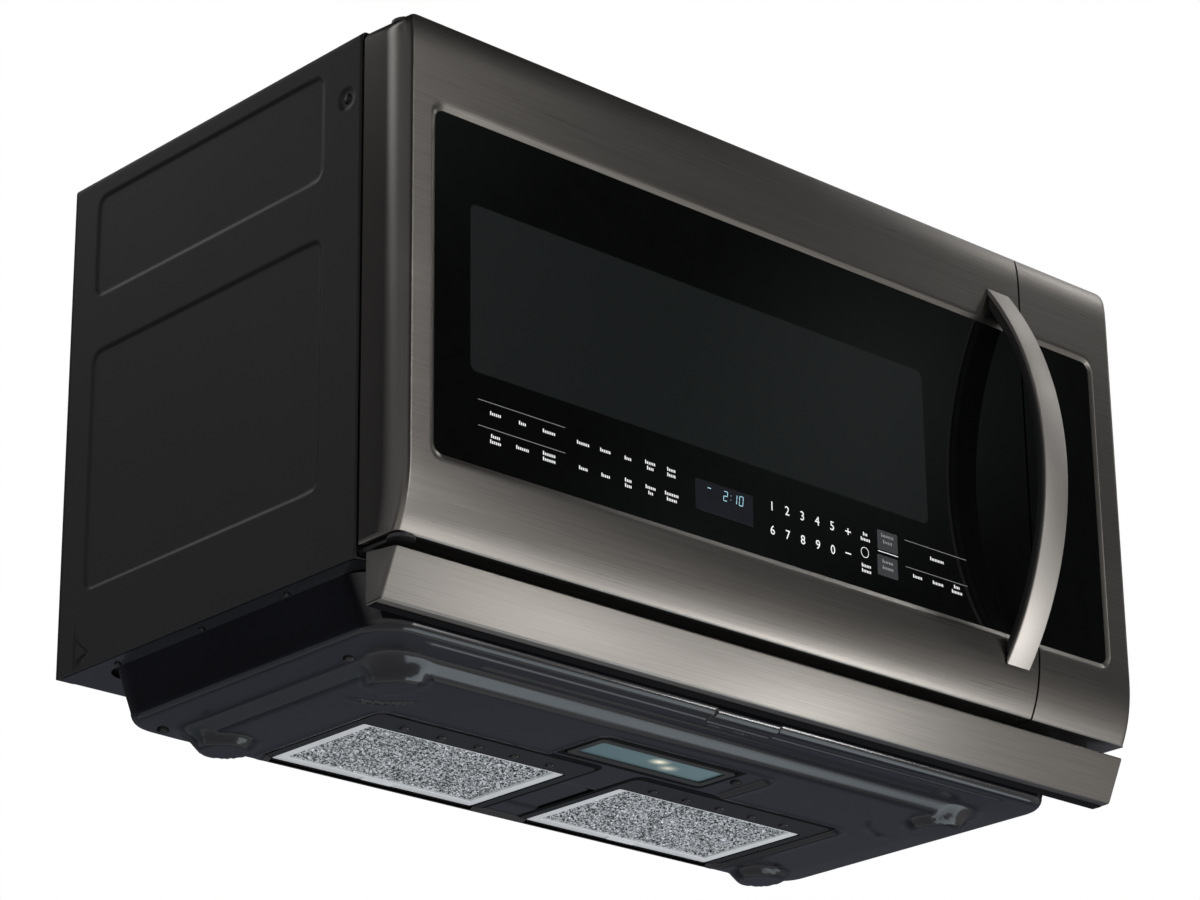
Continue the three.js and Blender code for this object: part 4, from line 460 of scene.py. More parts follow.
def lamp_lens(name):
    """Frosted blue-green lens with the glow of two light diodes behind it, and a painted glow that
    colours it lighter towards +X, the diodes' side.
    """
    mat, n, shader = material(name)
    where = n.where()
    across = n.add("ShaderNodeSeparateXYZ", {0: where}).outputs[0]
    # Painted glow: the lens's colour is lighter towards +X, where the diodes sit.
    painted_glow_fade = n.math("MULTIPLY_ADD", across, 5.0, 0.5, clamp=True)
    glow = []
    for x, y, strength in DIODES:
        offset = n.vector("SUBTRACT", where, (x, y, LENS_HEIGHT))
        far = n.vector("LENGTH", n.vector("MULTIPLY", offset, (0.7, 1.0, 1.0)), result="Value")
        spot = n.math("MULTIPLY_ADD", far, -110.0, 1.0, clamp=True)
        glow.append(n.math("MULTIPLY", n.math("POWER", spot, 2.0), strength))
    light = n.mix(n.math("ADD", *glow, clamp=True), 0.0, (0.95, 0.86, 0.62))
    n.feed(shader, {
        "Base Color": n.mix(painted_glow_fade, (0.10, 0.17, 0.185), (0.15, 0.235, 0.25)), "Roughness": 0.28,
        "Emission Color": light, "Emission Strength": 1.0,
        "Normal": n.bump(n.noise(where, 900.0, 2.0), 0.1, 0.0003)})
    return mat


def mesh_metal(name):
    """Crumpled aluminium foil mesh of the grease filters."""
    mat, n, shader = material(name)
    fine = n.noise(n.where(), 480.0, 3.0, 0.6)
    # The speckle from near-black to near-white is painted light: shade in the mesh's creases and
    # glints on its facets.
    painted_glint_and_shade = n.math("MULTIPLY_ADD", fine, 5.5, -2.3, clamp=True)
    n.feed(shader, {
        "Base Color": n.mix(painted_glint_and_shade, (0.03, 0.034, 0.036), (0.9, 0.92, 0.94)), "Metallic": 0.35,
        "Roughness": n.math("MULTIPLY_ADD", painted_glint_and_shade, -0.15, 0.42),
        "Normal": n.bump(fine, 0.9, 0.0016)})
    return mat


def lit_and_painted_glow(name, colour, body_colour):
    """An even glow over a printed body, a little uneven at its edges: the display's digits are lit,
    and on the keys' print the glow is painted light.
    """
    mat, n, shader = material(name)
    dim = tuple(0.8 * c for c in colour)
    n.feed(shader, {
        "Base Color": (*body_colour, 1.0), "Roughness": 0.4, "Emission Strength": 1.0,
        "Emission Color": n.mix(n.noise(n.where(), 300.0, 1.0), dim, colour)})
    return mat


WINDOW_CORNER = 6.0
WINDOW_BLUR = 1.2
DIODES = ((0.005, -0.246, 1.0), (0.021, -0.238, 0.6))  # x, y in metres and strength
LENS_HEIGHT = -0.0525
STEEL = ((0.12, 0.112, 0.102), (0.27, 0.254, 0.236))
BLACK_PRINT = ((0.0012, 0.0014, 0.0013), (0.0026, 0.003, 0.0028))

STAINLESS = brushed("black_stainless", *STEEL, 0.29)
BAR_STEEL = brushed("black_stainless_bar", *STEEL, 0.31)
HANDLE_STEEL = brushed("handle_steel", (0.38, 0.36, 0.335), (0.52, 0.49, 0.46), 0.42,
                       along=900.0, across=900.0, turned=0.0)
SATIN = painted("satin_black_paint", (0.0055, 0.0055, 0.0062), (0.0085, 0.0085, 0.0092), 0.38,
                depth=0.12, specular=0.32)
GLOSS = painted("gloss_black_enamel", (0.003, 0.0032, 0.0045), (0.0045, 0.0048, 0.0065), 0.13,
                depth=0.02)
# Matte black with little reflection: painted shade round the filters and under the vent bar, and
# the lens's dark bezel round the lamp.
BEZEL_AND_SHADE_BLACK = painted("matte_black_bezel_and_shade", (0.003, 0.003, 0.0035), (0.005, 0.005, 0.0055), 0.7,
               specular=0.06)
PLASTIC = painted("black_plastic", 0.012, 0.02, 0.5, 1500.0, 0.2)
LINER = painted("handle_back", 0.008, 0.014, 0.4)
PALE = painted("pale_grey_frame", (0.68, 0.69, 0.70), (0.78, 0.79, 0.80), 0.4)
ENAMEL = painted("cavity_enamel", (0.42, 0.42, 0.41), (0.52, 0.52, 0.50), 0.32, coat=0.4)
WHITE = painted("white_plastic", (0.66, 0.66, 0.62), (0.76, 0.76, 0.72), 0.45)
MICA = painted("mica_sheet", (0.42, 0.37, 0.28), (0.58, 0.53, 0.43), 0.55, 220.0, 0.3)
CIRCUIT = painted("circuit_board", (0.01, 0.09, 0.035), (0.02, 0.15, 0.06), 0.4, 500.0, 0.5)
CARBON = painted("carbon_grains", 0.008, 0.03, 0.8, 420.0, 0.9)
DARK_STEEL = painted("dark_steel", (0.07, 0.07, 0.075), (0.13, 0.13, 0.135), 0.42, metallic=0.9)
ALUMINIUM = painted("cast_aluminium", (0.5, 0.51, 0.52), (0.62, 0.63, 0.64), 0.36, metallic=1.0)
SPRING = painted("spring_wire", (0.4, 0.4, 0.41), (0.55, 0.55, 0.56), 0.3, metallic=1.0)
SCREW = painted("dark_screw", (0.02, 0.02, 0.022), (0.05, 0.05, 0.052), 0.3, metallic=0.9)
ZINC = zinc("zinc_sheet", (0.36, 0.38, 0.39), (0.55, 0.57, 0.58), 0.42)
WINDOW_GLASS = window_glass("black_window_glass")
BLACK_GLASS = plain_glass("black_glass", *BLACK_PRINT)
DISPLAY = plain_glass("display_glass", (0.010, 0.0105, 0.014), (0.014, 0.0145, 0.019))
KEY_PAD = plain_glass("grey_key", (0.045, 0.047, 0.05), (0.06, 0.062, 0.066))
CLEAR = plain_glass("clear_tray_glass", (0.86, 0.93, 0.91), (0.92, 0.97, 0.95), scale=40.0,
                    detail=3.0, matte=0.06, clear=0.95)
LENS_GLASS = lamp_lens("frosted_lens")
FOIL = mesh_metal("filter_foil")
# The white and grey print glows with painted light; the display's digits are lit.
LEGEND_PAINTED_GLOW = lit_and_painted_glow("white_print_painted_glow", (0.4, 0.4, 0.4), (0.7, 0.7, 0.7))
FAINT_PAINTED_GLOW = lit_and_painted_glow("grey_print_painted_glow", (0.06, 0.06, 0.06), (0.2, 0.2, 0.2))
DIGITS = lit_and_painted_glow("display_digits", (0.42, 0.78, 0.92), (0.05, 0.05, 0.05))

NODE_LOOKS = {node: look for look, nodes in (
    (ZINC, "rear_panel chassis_plate waveguide blower_housing damper vent_rail_left "
           "vent_rail_right"),
    (SATIN, "front_plate outer_wrap choke_frame"),
    (GLOSS, "base_pan"),
    (STAINLESS, "door_skin side_panel_frame"),
    (BAR_STEEL, "vent_bar"),
    (HANDLE_STEEL, "handle_strap"),
    (LINER, "handle_liner"),
    (PLASTIC, "cord_gland fan_shroud blower_wheel_left blower_wheel_right top_grille lamp_cover "
              "vent_visor switch_lower switch_middle switch_upper choke_cover display_module"),
    (DARK_STEEL, "transformer fan_motor blower_motor hinge_upper hinge_lower window_screen"),
    (ALUMINIUM, "magnetron capacitor"),
    (PALE, "turntable_motor lamp_housing filter_frame_left filter_frame_right"),
    (WHITE, "cooling_fan drive_hub roller_ring roller_1 roller_2 roller_3 latch_board latch_lever"),
    (CIRCUIT, "power_board touch_board"),
    (ENAMEL, "oven_cavity"),
    (MICA, "waveguide_cover"),
    (CARBON, "charcoal_filter"),
    (SPRING, "latch_spring"),
    (CLEAR, "glass_tray"),
    (LENS_GLASS, "lamp_glass"),
    (BLACK_GLASS, "side_panel_glass"),
    (WINDOW_GLASS, "door_glass"),
    (FOIL, "filter_mesh_left filter_mesh_right"),
) for node in nodes.split()}


def dress_nodes():
    """Every node of the frame takes its own finish."""
    for name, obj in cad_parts.items():
        obj.data.materials.clear()
        obj.data.materials.append(NODE_LOOKS[name])


# ------------------------------------------------------------------ cabinet shell
SIDE_PRESSINGS = (  # (y0, y1, z0, z1), corner radius and depth
    ((-308.0, -31.0, 293.0, 377.0), 10.0, 1.3),
    ((-308.0, -31.0, 54.0, 246.0), 10.0, 1.3),
    ((-343.0, -327.0, 339.0, 355.0), 7.5, 1.1),
)
SIDE_SCREW = (-335.0, 347.0)  # middle of the last pressing
DOME = ((0.02, 0.9), (2.0, 0.8), (3.4, 0.4), (4.2, -0.2), (4.4, -1.4))  # radius and height
TRIANGLE = np.array([(-21.0, 18.0), (-41.0, 3.0), (-21.0, -4.0)])
ARROW_Y, ARROW_Z = (-21.0, -36.0), 7.0  # the grid is fine here, for the arrow
FOLD = 4.0
TOP_OPENINGS = (  # (x0, x1, y0, y1): the outlet, the front grille and the cord's gland
    (-127.0, 127.0, -95.0, -12.0), (-300.0, 300.0, -344.0, -308.0), (244.0, 256.0, -61.0, -49.0))


def triangle_distance(y, z):
    """Signed distance to the small arrow near the rear edge: the largest of its edge distances.

    Its corners are listed so that each edge's distance is negative inside.
    """
    sides = []
    for (ay, az), (by, bz) in zip(TRIANGLE, np.roll(TRIANGLE, -1, axis=0)):
        length = math.hypot(by - ay, bz - az)
        sides.append(((y - ay) * (bz - az) - (z - az) * (by - ay)) / length)
    return np.max(sides, axis=0)


def side_relief(y, z):
    """How far the side is pressed in: panels sink over a short slope, the arrow is a groove."""
    depth = np.zeros_like(y)
    for box, radius, sink in SIDE_PRESSINGS:
        depth += sink * ramp((1.5 - rect_distance(y, z, box, radius)) / 3.2)
    groove = np.abs(triangle_distance(y, z) + 1.2)
    return depth + ramp(1.6 - groove / 0.9)


def cabinet_wrap():
    """The wrap: its section runs from one bottom flange up a side, over the top and down again.

    The section (X, Z) is a rectangle with folds at the top, carried along Y; the sides sink by
    side_relief. Cells inside the top's three openings are left out.
    """
    boxes = [pressing[0] for pressing in SIDE_PRESSINGS]
    z_lines = lines_between(CABINET_BOTTOM, CABINET_TOP - FOLD, 12.0, fine_step=0.9, reach=7.0,
                            fine=[*edges(boxes, 1), ARROW_Z])
    y_lines = lines_between(CABINET_FRONT, 0.0, 12.0, edges(TOP_OPENINGS, 1), fine_step=0.9,
                            reach=6.0, fine=[*edges(boxes, 0), *ARROW_Y])
    x_lines = np.unique([FOLD - HALF, 0.0, HALF - FOLD, *edges(TOP_OPENINGS, 0)])
    turn = np.linspace(0, math.pi / 2, 7)[1:-1]
    left_fold = np.stack([FOLD - HALF - FOLD * np.cos(turn),
                          CABINET_TOP - FOLD + FOLD * np.sin(turn)], axis=-1)
    left = np.concatenate([[(-PAN_TOP_WALL, CABINET_BOTTOM)],
                           np.stack([np.full_like(z_lines, -HALF), z_lines], axis=-1), left_fold])
    top = np.stack([x_lines, np.full_like(x_lines, CABINET_TOP)], axis=-1)
    section = np.concatenate([left, top, left[::-1] * (-1, 1)])
    x = np.broadcast_to(section[:, :1], (len(section), len(y_lines))).copy()
    z = np.broadcast_to(section[:, 1:], x.shape)
    y = np.broadcast_to(y_lines, x.shape)
    on_side = np.abs(np.abs(x) - HALF) < 0.01
    x -= np.sign(x) * np.where(on_side, side_relief(y, z), 0.0)
    points = np.stack([x, y, z], axis=-1)
    middle = (points[:-1, :-1] + points[1:, 1:]) / 2
    top = middle[..., 2] > CABINET_TOP - 0.5
    keep = ~(top & in_boxes(middle[..., 0], middle[..., 1], TOP_OPENINGS))
    make("cabinet_wrap", [(points, False, keep)], "cabinet",
         SATIN, nodes=("outer_wrap",), wall=SHEET, towards=(0, 0, 1), sharp=60)


def pan_screw(x, y, z, radius=4.6):
    """Round head that hangs below a face at z, with its edge rounded."""
    return lathe([(0.02, z - 2.2), (radius * 0.55, z - 2.1), (radius * 0.9, z - 1.5),
                  (radius, z - 0.6), (radius, z + 1.0)], (x, y))


def side_screws():
    """A domed head in each side's dimple."""
    patches = []
    for side in (-1, 1):
        rings = [placed(SIDE_SCREW + radius * circle(24), side * (HALF - 0.9 + 0.9 * height), "x")
                 for radius, height in DOME]
        patches.append((np.stack(rings), True))
    make("side_screws", patches, "cabinet", SCREW)


# ------------------------------------------------------------------ door, panel, bar and handle
CHIN_START = 44.0  # height gained per unit of t where the curve begins, at its lower end
BROW_START = 32.5
FACE_RUNS = (30, 7, 60)  # points along an end, round a corner and up the side
SIDE_ROUND = 4.0
FLAT_ROUND = 1.2
BAR_CORNER = 1.6
# The strip under the bar's rear that is painted shade, as a matte black plate.
UNDERSIDE_SHADE_STRIP = (-369.0, -360.2, -45.2, -44.3)  # (y0, y1, z0, z1)


def curve_parameter(height, start, rise):
    """The t of a quadratic curve, height = start t + (rise - start) t^2."""
    bend = rise - start
    return (np.sqrt(start ** 2 + 4 * bend * height) - start) / (2 * bend)


def face_y(z):
    """Front face of the door: flat, drawn back below by a chin and above by a brow.

    Each is a quadratic curve in a parameter t that runs upwards, and the setback is
    CHIN_DEPTH (1 - t)^2 or BROW_DEPTH t^2.
    """
    z = np.clip(z, 0, DOOR_HEIGHT)
    low = curve_parameter(np.minimum(z, CHIN_HEIGHT), CHIN_START, CHIN_HEIGHT)
    high = curve_parameter(np.maximum(z - (DOOR_HEIGHT - BROW_HEIGHT), 0), BROW_START, BROW_HEIGHT)
    return DOOR_FACE + CHIN_DEPTH * (1 - low) ** 2 + BROW_DEPTH * high ** 2


def c_line(open_x, side_x, low, high, radius, upper=None):
    """Three-sided outline open at open_x: along the bottom, up the outer side, back along the top.

    Its corners are quarter circles, of radius below and upper (by default the same) above.
    """
    upper = radius if upper is None else upper
    s = math.copysign(1.0, side_x - open_x)
    ends, turns, ups = FACE_RUNS
    along = np.linspace(0, 1, ends)[:, None]
    turn = np.linspace(0, math.pi / 2, turns + 2)[1:-1]
    up = np.linspace(low + radius, high - upper, ups)
    bottom = (open_x, low) + along * (side_x - s * radius - open_x, 0)
    corner = np.stack([side_x - s * radius * (1 - np.sin(turn)),
                       low + radius * (1 - np.cos(turn))], axis=-1)
    side = np.stack([np.full_like(up, side_x), up], axis=-1)
    above = np.stack([side_x - s * upper * (1 - np.cos(turn)),
                      high - upper * (1 - np.sin(turn))], axis=-1)
    top = (side_x - s * upper, high) + along * (open_x - side_x + s * upper, 0)
    return np.concatenate([bottom, corner, side, above, top])


def facing(name, node, body, seam, outer, opening):
    """Skin round the glass: outlines blended from the opening to the outer edge.

    The bevel rises from the glass to the face, the face follows face_y, the outer edges are
    rounded more at the side than above and below, and the walls run back.
    """
    s = math.copysign(1.0, outer - seam)
    rings = []

    def ring(outline, y):
        """Adds an outline (X, Z) set at y, which may differ along it."""
        y = np.broadcast_to(y, len(outline))
        rings.append(np.stack([outline[:, 0], y, outline[:, 1]], axis=-1))

    def opened(grow):
        """Outline of the glass opening, grown on its three sides."""
        return c_line(seam, opening + s * grow, GLASS_LOW - grow, GLASS_HIGH + grow,
                      GLASS_CORNER + grow)

    ring(opened(0), GLASS_FRONT + 5)
    ring(opened(0), GLASS_FRONT + 0.1)
    ring(opened(0.5), GLASS_FRONT - 0.1)
    ring(opened(BEVEL - 0.5), DOOR_FACE + 0.15)
    inner = opened(BEVEL)
    edge = c_line(seam, outer - s * SIDE_ROUND, FLAT_ROUND, DOOR_HEIGHT - FLAT_ROUND, 0.5, 6.0)
    for t in np.linspace(0, 1, 18):
        blend = inner + (edge - inner) * t
        ring(blend, face_y(blend[:, 1]))
    run = np.arange(len(edge))
    half_turn = FACE_RUNS[1] // 2
    on_side = (run > FACE_RUNS[0] + half_turn) & (run < len(edge) - FACE_RUNS[0] - half_turn - 1)
    reach = np.where(on_side, SIDE_ROUND, FLAT_ROUND)
    for angle in np.linspace(0, math.pi / 2, 7)[1:]:
        drawn = 1 - math.sin(angle)
        line = c_line(seam, outer - s * SIDE_ROUND * drawn, FLAT_ROUND * drawn,
                      DOOR_HEIGHT - FLAT_ROUND * drawn, 0.5, 6.0 + SIDE_ROUND * (1 - drawn))
        ring(line, face_y(line[:, 1]) + (1 - math.cos(angle)) * reach)
    ring(c_line(seam, outer, 0, DOOR_BACK_TOP, 0.5, 10.0), DOOR_BACK)
    points = np.stack(rings)
    first, last = points[:, :1].copy(), points[:, -1:].copy()
    first[..., 1] = last[..., 1] = DOOR_BACK - 1
    shell = np.concatenate([first, points, last], axis=1)
    make(name, [(shell, False)], body, STAINLESS, nodes=(node,), wall=1.6,
         towards=(0, -1, 0), sharp=28)


def vent_front():
    """The bar under the door: a four-sided section with soft corners, rounded off at both ends."""
    corners = np.array(BAR_PROFILE)
    inwards = corners.mean(axis=0) - corners
    inwards /= np.linalg.norm(inwards, axis=1)[:, None]

    def section(inset):
        """The profile drawn in by inset, each corner a quadratic curve."""
        shrunk = corners + inwards * inset * 1.3
        back = np.roll(shrunk, 1, axis=0) - shrunk
        ahead = np.roll(shrunk, -1, axis=0) - shrunk
        back *= BAR_CORNER / np.linalg.norm(back, axis=1)[:, None]
        ahead *= BAR_CORNER / np.linalg.norm(ahead, axis=1)[:, None]
        t = np.linspace(0, 1, 6)[None, :, None]
        a, b = (shrunk + back)[:, None], (shrunk + ahead)[:, None]
        curve = (1 - t) ** 2 * a + 2 * t * (1 - t) * shrunk[:, None] + t ** 2 * b
        return curve.reshape(-1, 2)

    make("vent_front", prism(section, (-BAR_SIDE, BAR_SIDE), 1.2, "x"), "vent_slide",
         BAR_STEEL, nodes=("vent_bar",), sharp=40)
    # A matte black strip under the bar's rear: painted shade.
    plate = prism(inset_box(UNDERSIDE_SHADE_STRIP, 0.3, 2), (2 - BAR_SIDE, BAR_SIDE - 2), 0.3, "x")
    make("vent_underside_painted_shade", plate, "vent_slide", BEZEL_AND_SHADE_BLACK, sharp=40)


def handle_band(outside, inside, half_width, edge):
    """Curved strap: a rounded section (radius, X) carried along an arc about a line along X.

    For a point of the section at radius r, the arc ends where Y = centre - r cos(a) meets the
    door.
    """
    section = rounded(inside, outside, -half_width, half_width, edge, steps=5)
    r, across = section[:, 0], section[:, 1]
    limit = np.arccos((HANDLE_CENTRE_Y - HANDLE_FOOT_Y) / r)
    angle = np.linspace(-1, 1, 81)[:, None] * limit
    x = np.broadcast_to(HANDLE_X + across, angle.shape)
    y = HANDLE_CENTRE_Y - r * np.cos(angle)
    points = np.stack([x, y, HANDLE_MID + r * np.sin(angle)], axis=-1)
    return [(points, True), capped(points[0]), capped(points[-1])]


# ------------------------------------------------------------------ underside
RIM_INNER = (-315.0, 315.0, -308.0, -48.0)  # where the rim ends and the slope to the floor begins
RIM_CORNER = 26.0
SLOPE = 14.0
BRIDGE = (-21.0, 21.0, -160.0, -92.0)  # the plate between the filters
CREASES = ((-331.0, 300.0, 2.2, 1.2), (-318.0, 236.0, 3.0, -0.9))  # y, half length and width, depth
CATCH = (-30.0, 38.0, -341.0, -329.0)
DIMPLES = ((-20.0, -4.0, -327.0, -320.0), (6.0, 22.0, -327.0, -320.0))
BEAD = (53.0, 1.8, 28.0, 27.0)  # radius, half width, middle and half of its turn in degrees
PAN_FINE_Y = (FIELD[2], LAMP_FIELD[2], CATCH[2], -332.0, -325.0, -318.0)  # the grid's fine rows
PAN_CORNER = 22.0
FLANGE = -8.4
FLANGE_HALF = 377.6
FLANGE_Y = (-350.0, -1.9)
MOUTH_TOP = -31.0  # the front wall ends here, to let the sliding visor through
PAN_SCREWS = (  # x on one side, y, the face's height and the head's radius
    (368.0, -262.0, CABINET_BOTTOM, 2.6), (368.0, -164.0, CABINET_BOTTOM, 2.6),
    (368.0, -62.0, CABINET_BOTTOM, 2.6), (318.0, -270.0, PAN_RIM - 1, 4.6),
    (318.0, -52.0, PAN_RIM - 1, 4.6))
LAMP_SCREW = (86.0, -246.0, PAN_FIELD)
STOPS_X = tuple(126.0 + (i - 2) * 36.0 for i in range(5))
STOP_Y = -187.0
# The black rings round the filter openings are painted shade; the ring round the lamp is the lens's
# dark bezel.
SHADE_SEAT_X = (17.0, 239.0)
SHADE_SEAT_Y = (-211.0, -62.5)
DARK_RING_Z = (PAN_FIELD + 0.5, PAN_FIELD - 0.25)
PLATE_Z = (PAN_FIELD + 0.3, PAN_FIELD - 0.6)
LAMP_BEZEL_RING = (-76.0, 76.0, -272.0, -215.0)
FRAME_TURNS = (  # share of the way from the frame's inner outline to its outer one, and height
    (0.0, -50.4), (0.0, -52.6), (0.06, -53.0), (0.94, -53.0), (1.0, -52.5), (1.0, -44.2),
    (0.0, -44.2), (0.0, -50.4))
FOIL_STEP = 0.9
FOIL_HEIGHT = -51.2


def pressed(x, y, box, corner, slope):
    """1 inside a rounded rectangle and 0 outside it, rising over slope within its edge."""
    return ramp(-rect_distance(x, y, box, corner) / slope)


def pan_height(x, y):
    """Underside of the pan: the lowest of a stepped floor and four blunt cones, plus fine relief.

    The rim falls 1 mm to its inner edge and the floor a further 9 mm over a slope. A sunk field
    round the filters and the lamp rises 3 mm, and the plate between the filters 1 mm more. A
    curved bead stands beside each front boss, two creases and a catch's plate run along the front.
    """
    depth = -rect_distance(x, y, RIM_INNER, RIM_CORNER)
    slope = ramp(depth / SLOPE, 0.1)
    z = PAN_RIM - ramp(depth / RIM_CORNER + 1) + (PAN_FLOOR - PAN_RIM + 1) * slope
    radius, half_width, turned, half_turn = BEAD
    for bx, by in BOSSES:
        away = np.hypot(x - bx, y - by)
        rise = (away - BOSS_RADIUS) / (BOSS_SPREAD - BOSS_RADIUS)
        cone = BOSS_BOTTOM + (PAN_RIM - BOSS_BOTTOM) * rise
        cone = smooth_max(np.where(away < BOSS_REACH, cone, CLEAR_ABOVE), BOSS_BOTTOM, 0.3)
        z = -smooth_max(-z, -cone, 1.6)
        if by == BOSS_FRONT:
            heading = np.degrees(np.arctan2(np.sign(-bx) * (x - bx), y - by))
            z -= 1.9 * (np.exp(-((away - radius) / half_width) ** 4)
                        * np.exp(-((heading - turned) / half_turn) ** 6))
    field = np.minimum(rect_distance(x, y, FIELD, 12.0), rect_distance(x, y, LAMP_FIELD, 12.0))
    z += (PAN_FIELD - PAN_FLOOR) * ramp(-field / 3.0)
    z -= 0.5 * np.exp(-((field - 3.2) / 1.5) ** 2) * ramp((depth - 10) / 6)
    z += pressed(x, y, BRIDGE, 5.0, 2.0)
    for at, half, width, fall in CREASES:
        z -= fall * pressed(x, y, (-half, half, at - width, at + width), width, 1.6)
    z -= 1.3 * pressed(x, y, CATCH, 3.0, 1.8)
    for box in DIMPLES:
        z += 1.6 * pressed(x, y, box, 3.0, 1.8)
    return z


def squared_corners(x, y, box, radius):
    """Moves the grid points of each corner square onto a quarter disc (elliptical mapping)."""
    x0, x1, y0, y1 = box
    across, along = x - (x0 + x1) / 2, y - (y0 + y1) / 2
    u = (np.abs(across) - (x1 - x0) / 2 + radius) / radius
    v = (np.abs(along) - (y1 - y0) / 2 + radius) / radius
    inside = (u > 0) & (v > 0)
    nu = np.where(inside, u * np.sqrt(np.maximum(1 - v * v / 2, 0)), u)
    nv = np.where(inside, v * np.sqrt(np.maximum(1 - u * u / 2, 0)), v)
    return x + np.sign(across) * (nu - u) * radius, y + np.sign(along) * (nv - v) * radius


def well(side):
    """Mouth of the filter opening on one side, as (x0, x1, y0, y1)."""
    return *mirrored(side, (FILTER_X[0] - 1, FILTER_X[1] + 1)), FILTER_Y[0] - 1, FILTER_Y[1] + 1


def base_pan():
    """Pressed pan: a height field over a rounded rectangle, its curled edge and upright wall."""
    box = (-PAN_WALL + PAN_LIP, PAN_WALL - PAN_LIP, PAN_FRONT + PAN_LIP - 1, PAN_REAR - PAN_LIP + 1)
    holes = [well(1), well(-1), LAMP_HOLE]
    xs = lines_between(box[0], box[1], 3.0, edges(holes, 0), reach=4.0,
                       fine=edges((FIELD, LAMP_FIELD, CATCH, *DIMPLES), 0))
    ys = lines_between(box[2], box[3], 3.0, edges(holes, 1), reach=4.0, fine=PAN_FINE_Y)
    x, y = np.meshgrid(xs, ys, indexing="ij")
    x, y = squared_corners(x, y, box, PAN_CORNER)
    floor = np.stack([x, y, pan_height(x, y)], axis=-1)
    middle = (floor[:-1, :-1] + floor[1:, 1:]) / 2
    keep = ~in_boxes(middle[..., 0], middle[..., 1], holes)
    edge = np.concatenate([floor[:-1, 0], floor[-1, :-1], floor[:0:-1, -1], floor[0, :0:-1]])
    inner = np.clip(edge[:, :2], np.array(box[::2]) + PAN_CORNER, np.array(box[1::2]) - PAN_CORNER)
    outwards = edge[:, :2] - inner
    outwards /= np.linalg.norm(outwards, axis=1)[:, None]
    rings = [edge]
    for angle in np.linspace(0, math.pi / 2, 7)[1:]:
        moved = edge.copy()
        moved[:, :2] += outwards * PAN_LIP * 0.85 * math.sin(angle)
        moved[:, 2] += PAN_LIP * (1 - math.cos(angle))
        rings.append(moved)
    top = rings[-1].copy()
    top[:, :2] += outwards * PAN_LIP * 0.15
    top[:, 0] += outwards[:, 0] * (PAN_TOP_WALL - PAN_WALL)
    mouth = (top[:, 1] < PAN_FRONT + 16) & (np.abs(top[:, 0]) < 342)
    top[:, 2] = np.where(mouth, MOUTH_TOP, FLANGE)
    rings.append(top)
    flange = np.stack([
        placed(rounded(-PAN_TOP_WALL, PAN_TOP_WALL, PAN_FRONT, PAN_REAR, 20.0), FLANGE, "z"),
        placed(rounded(-FLANGE_HALF, FLANGE_HALF, *FLANGE_Y, 6.0), FLANGE, "z")])
    walls = []
    for hole, top_z in zip(holes, (-44.0, -44.0, -50.0)):
        outline = rounded(*hole, 0.8, steps=3)
        walls.append((np.stack([placed(outline, z, "z") for z in (PAN_FIELD, top_z)]), True))
    make("pressed_pan", [(floor, False, keep), (np.stack(rings), True), (flange, True), *walls],
         "cabinet", GLOSS, nodes=("base_pan",), towards=(0, 0, -1), sharp=50)


def flat_ring(mouth, rim, high, low):
    """Flat ring between two outlines of as many points: its section is a rectangle, low to high."""
    turns = ((mouth, high), (mouth, low), (rim, low), (rim, high), (mouth, high))
    return np.stack([placed(outline, z, "z") for outline, z in turns]), True


def pan_details():
    """Screws of the flange, the rim and the lamp, stops before the filters, and the openings' trim.

    Round each opening lies a matte black ring: round the filters it is painted shade in the recess,
    round the lamp it is the lens's dark bezel. A satin plate, narrower in front and at its sides,
    covers most of each filter's ring and leaves a dark border of painted shade.
    """
    screws = [pan_screw(side * x, *rest) for x, *rest in PAN_SCREWS for side in (-1, 1)]
    make("pan_screws", [*screws, pan_screw(*LAMP_SCREW)], "cabinet", SCREW)
    stops = [pan_screw(side * x, STOP_Y, PAN_FIELD, 4.2) for side in (-1, 1) for x in STOPS_X]
    make("filter_stops", stops, "cabinet", GLOSS)
    shade_and_bezel, plates = [], []
    for side in (-1, 1):
        x0, x1 = mirrored(side, SHADE_SEAT_X)
        mouth = rounded(*well(side), 2.0, steps=4)
        rim = rounded(x0, x1, *SHADE_SEAT_Y, 9.0, steps=4)
        shade_and_bezel.append(flat_ring(mouth, rim, *DARK_RING_Z))
        rim = rounded(x0 + 3.5, x1 - 3.5, SHADE_SEAT_Y[0] + 6.5, SHADE_SEAT_Y[1], 6.0, steps=4)
        plates.append(flat_ring(mouth, rim, *PLATE_Z))
    mouth = rounded(*LAMP_HOLE, 2.0, steps=4)
    shade_and_bezel.append(flat_ring(mouth, rounded(*LAMP_BEZEL_RING, 5.0, steps=4), *DARK_RING_Z))
    make("filter_plates", plates, "cabinet", SATIN, sharp=15)
    # Black rings: painted shade round the filters, the lens's dark bezel round the lamp.
    make("shade_and_bezel_rings", shade_and_bezel, "cabinet", BEZEL_AND_SHADE_BLACK, sharp=15)


def filter_frame(side, name, node, body):
    """Filter frame: a flat ring with soft edges, narrow at the front, and its pull at the rear."""
    x0, x1 = mirrored(side, FILTER_X)
    y0, y1 = FILTER_Y
    outer = rounded(x0, x1, y0, y1, 2.0, steps=4)
    inner = rounded(x0 + 8.5, x1 - 8.5, y0 + 2.0, y1 - 9, 2.0, steps=4)
    rings = np.stack([placed(inner + (outer - inner) * share, z, "z") for share, z in FRAME_TURNS])
    middle = (x0 + x1) / 2
    pull = inset_box((middle - 15, middle + 15, y1 - 7, y1 - 3), 1.2, 3)
    pull = prism(pull, (-54.4, -52.5), 0.5, "z")
    make(name, [(rings, True), *pull], body, PALE, nodes=(node,), sharp=30)


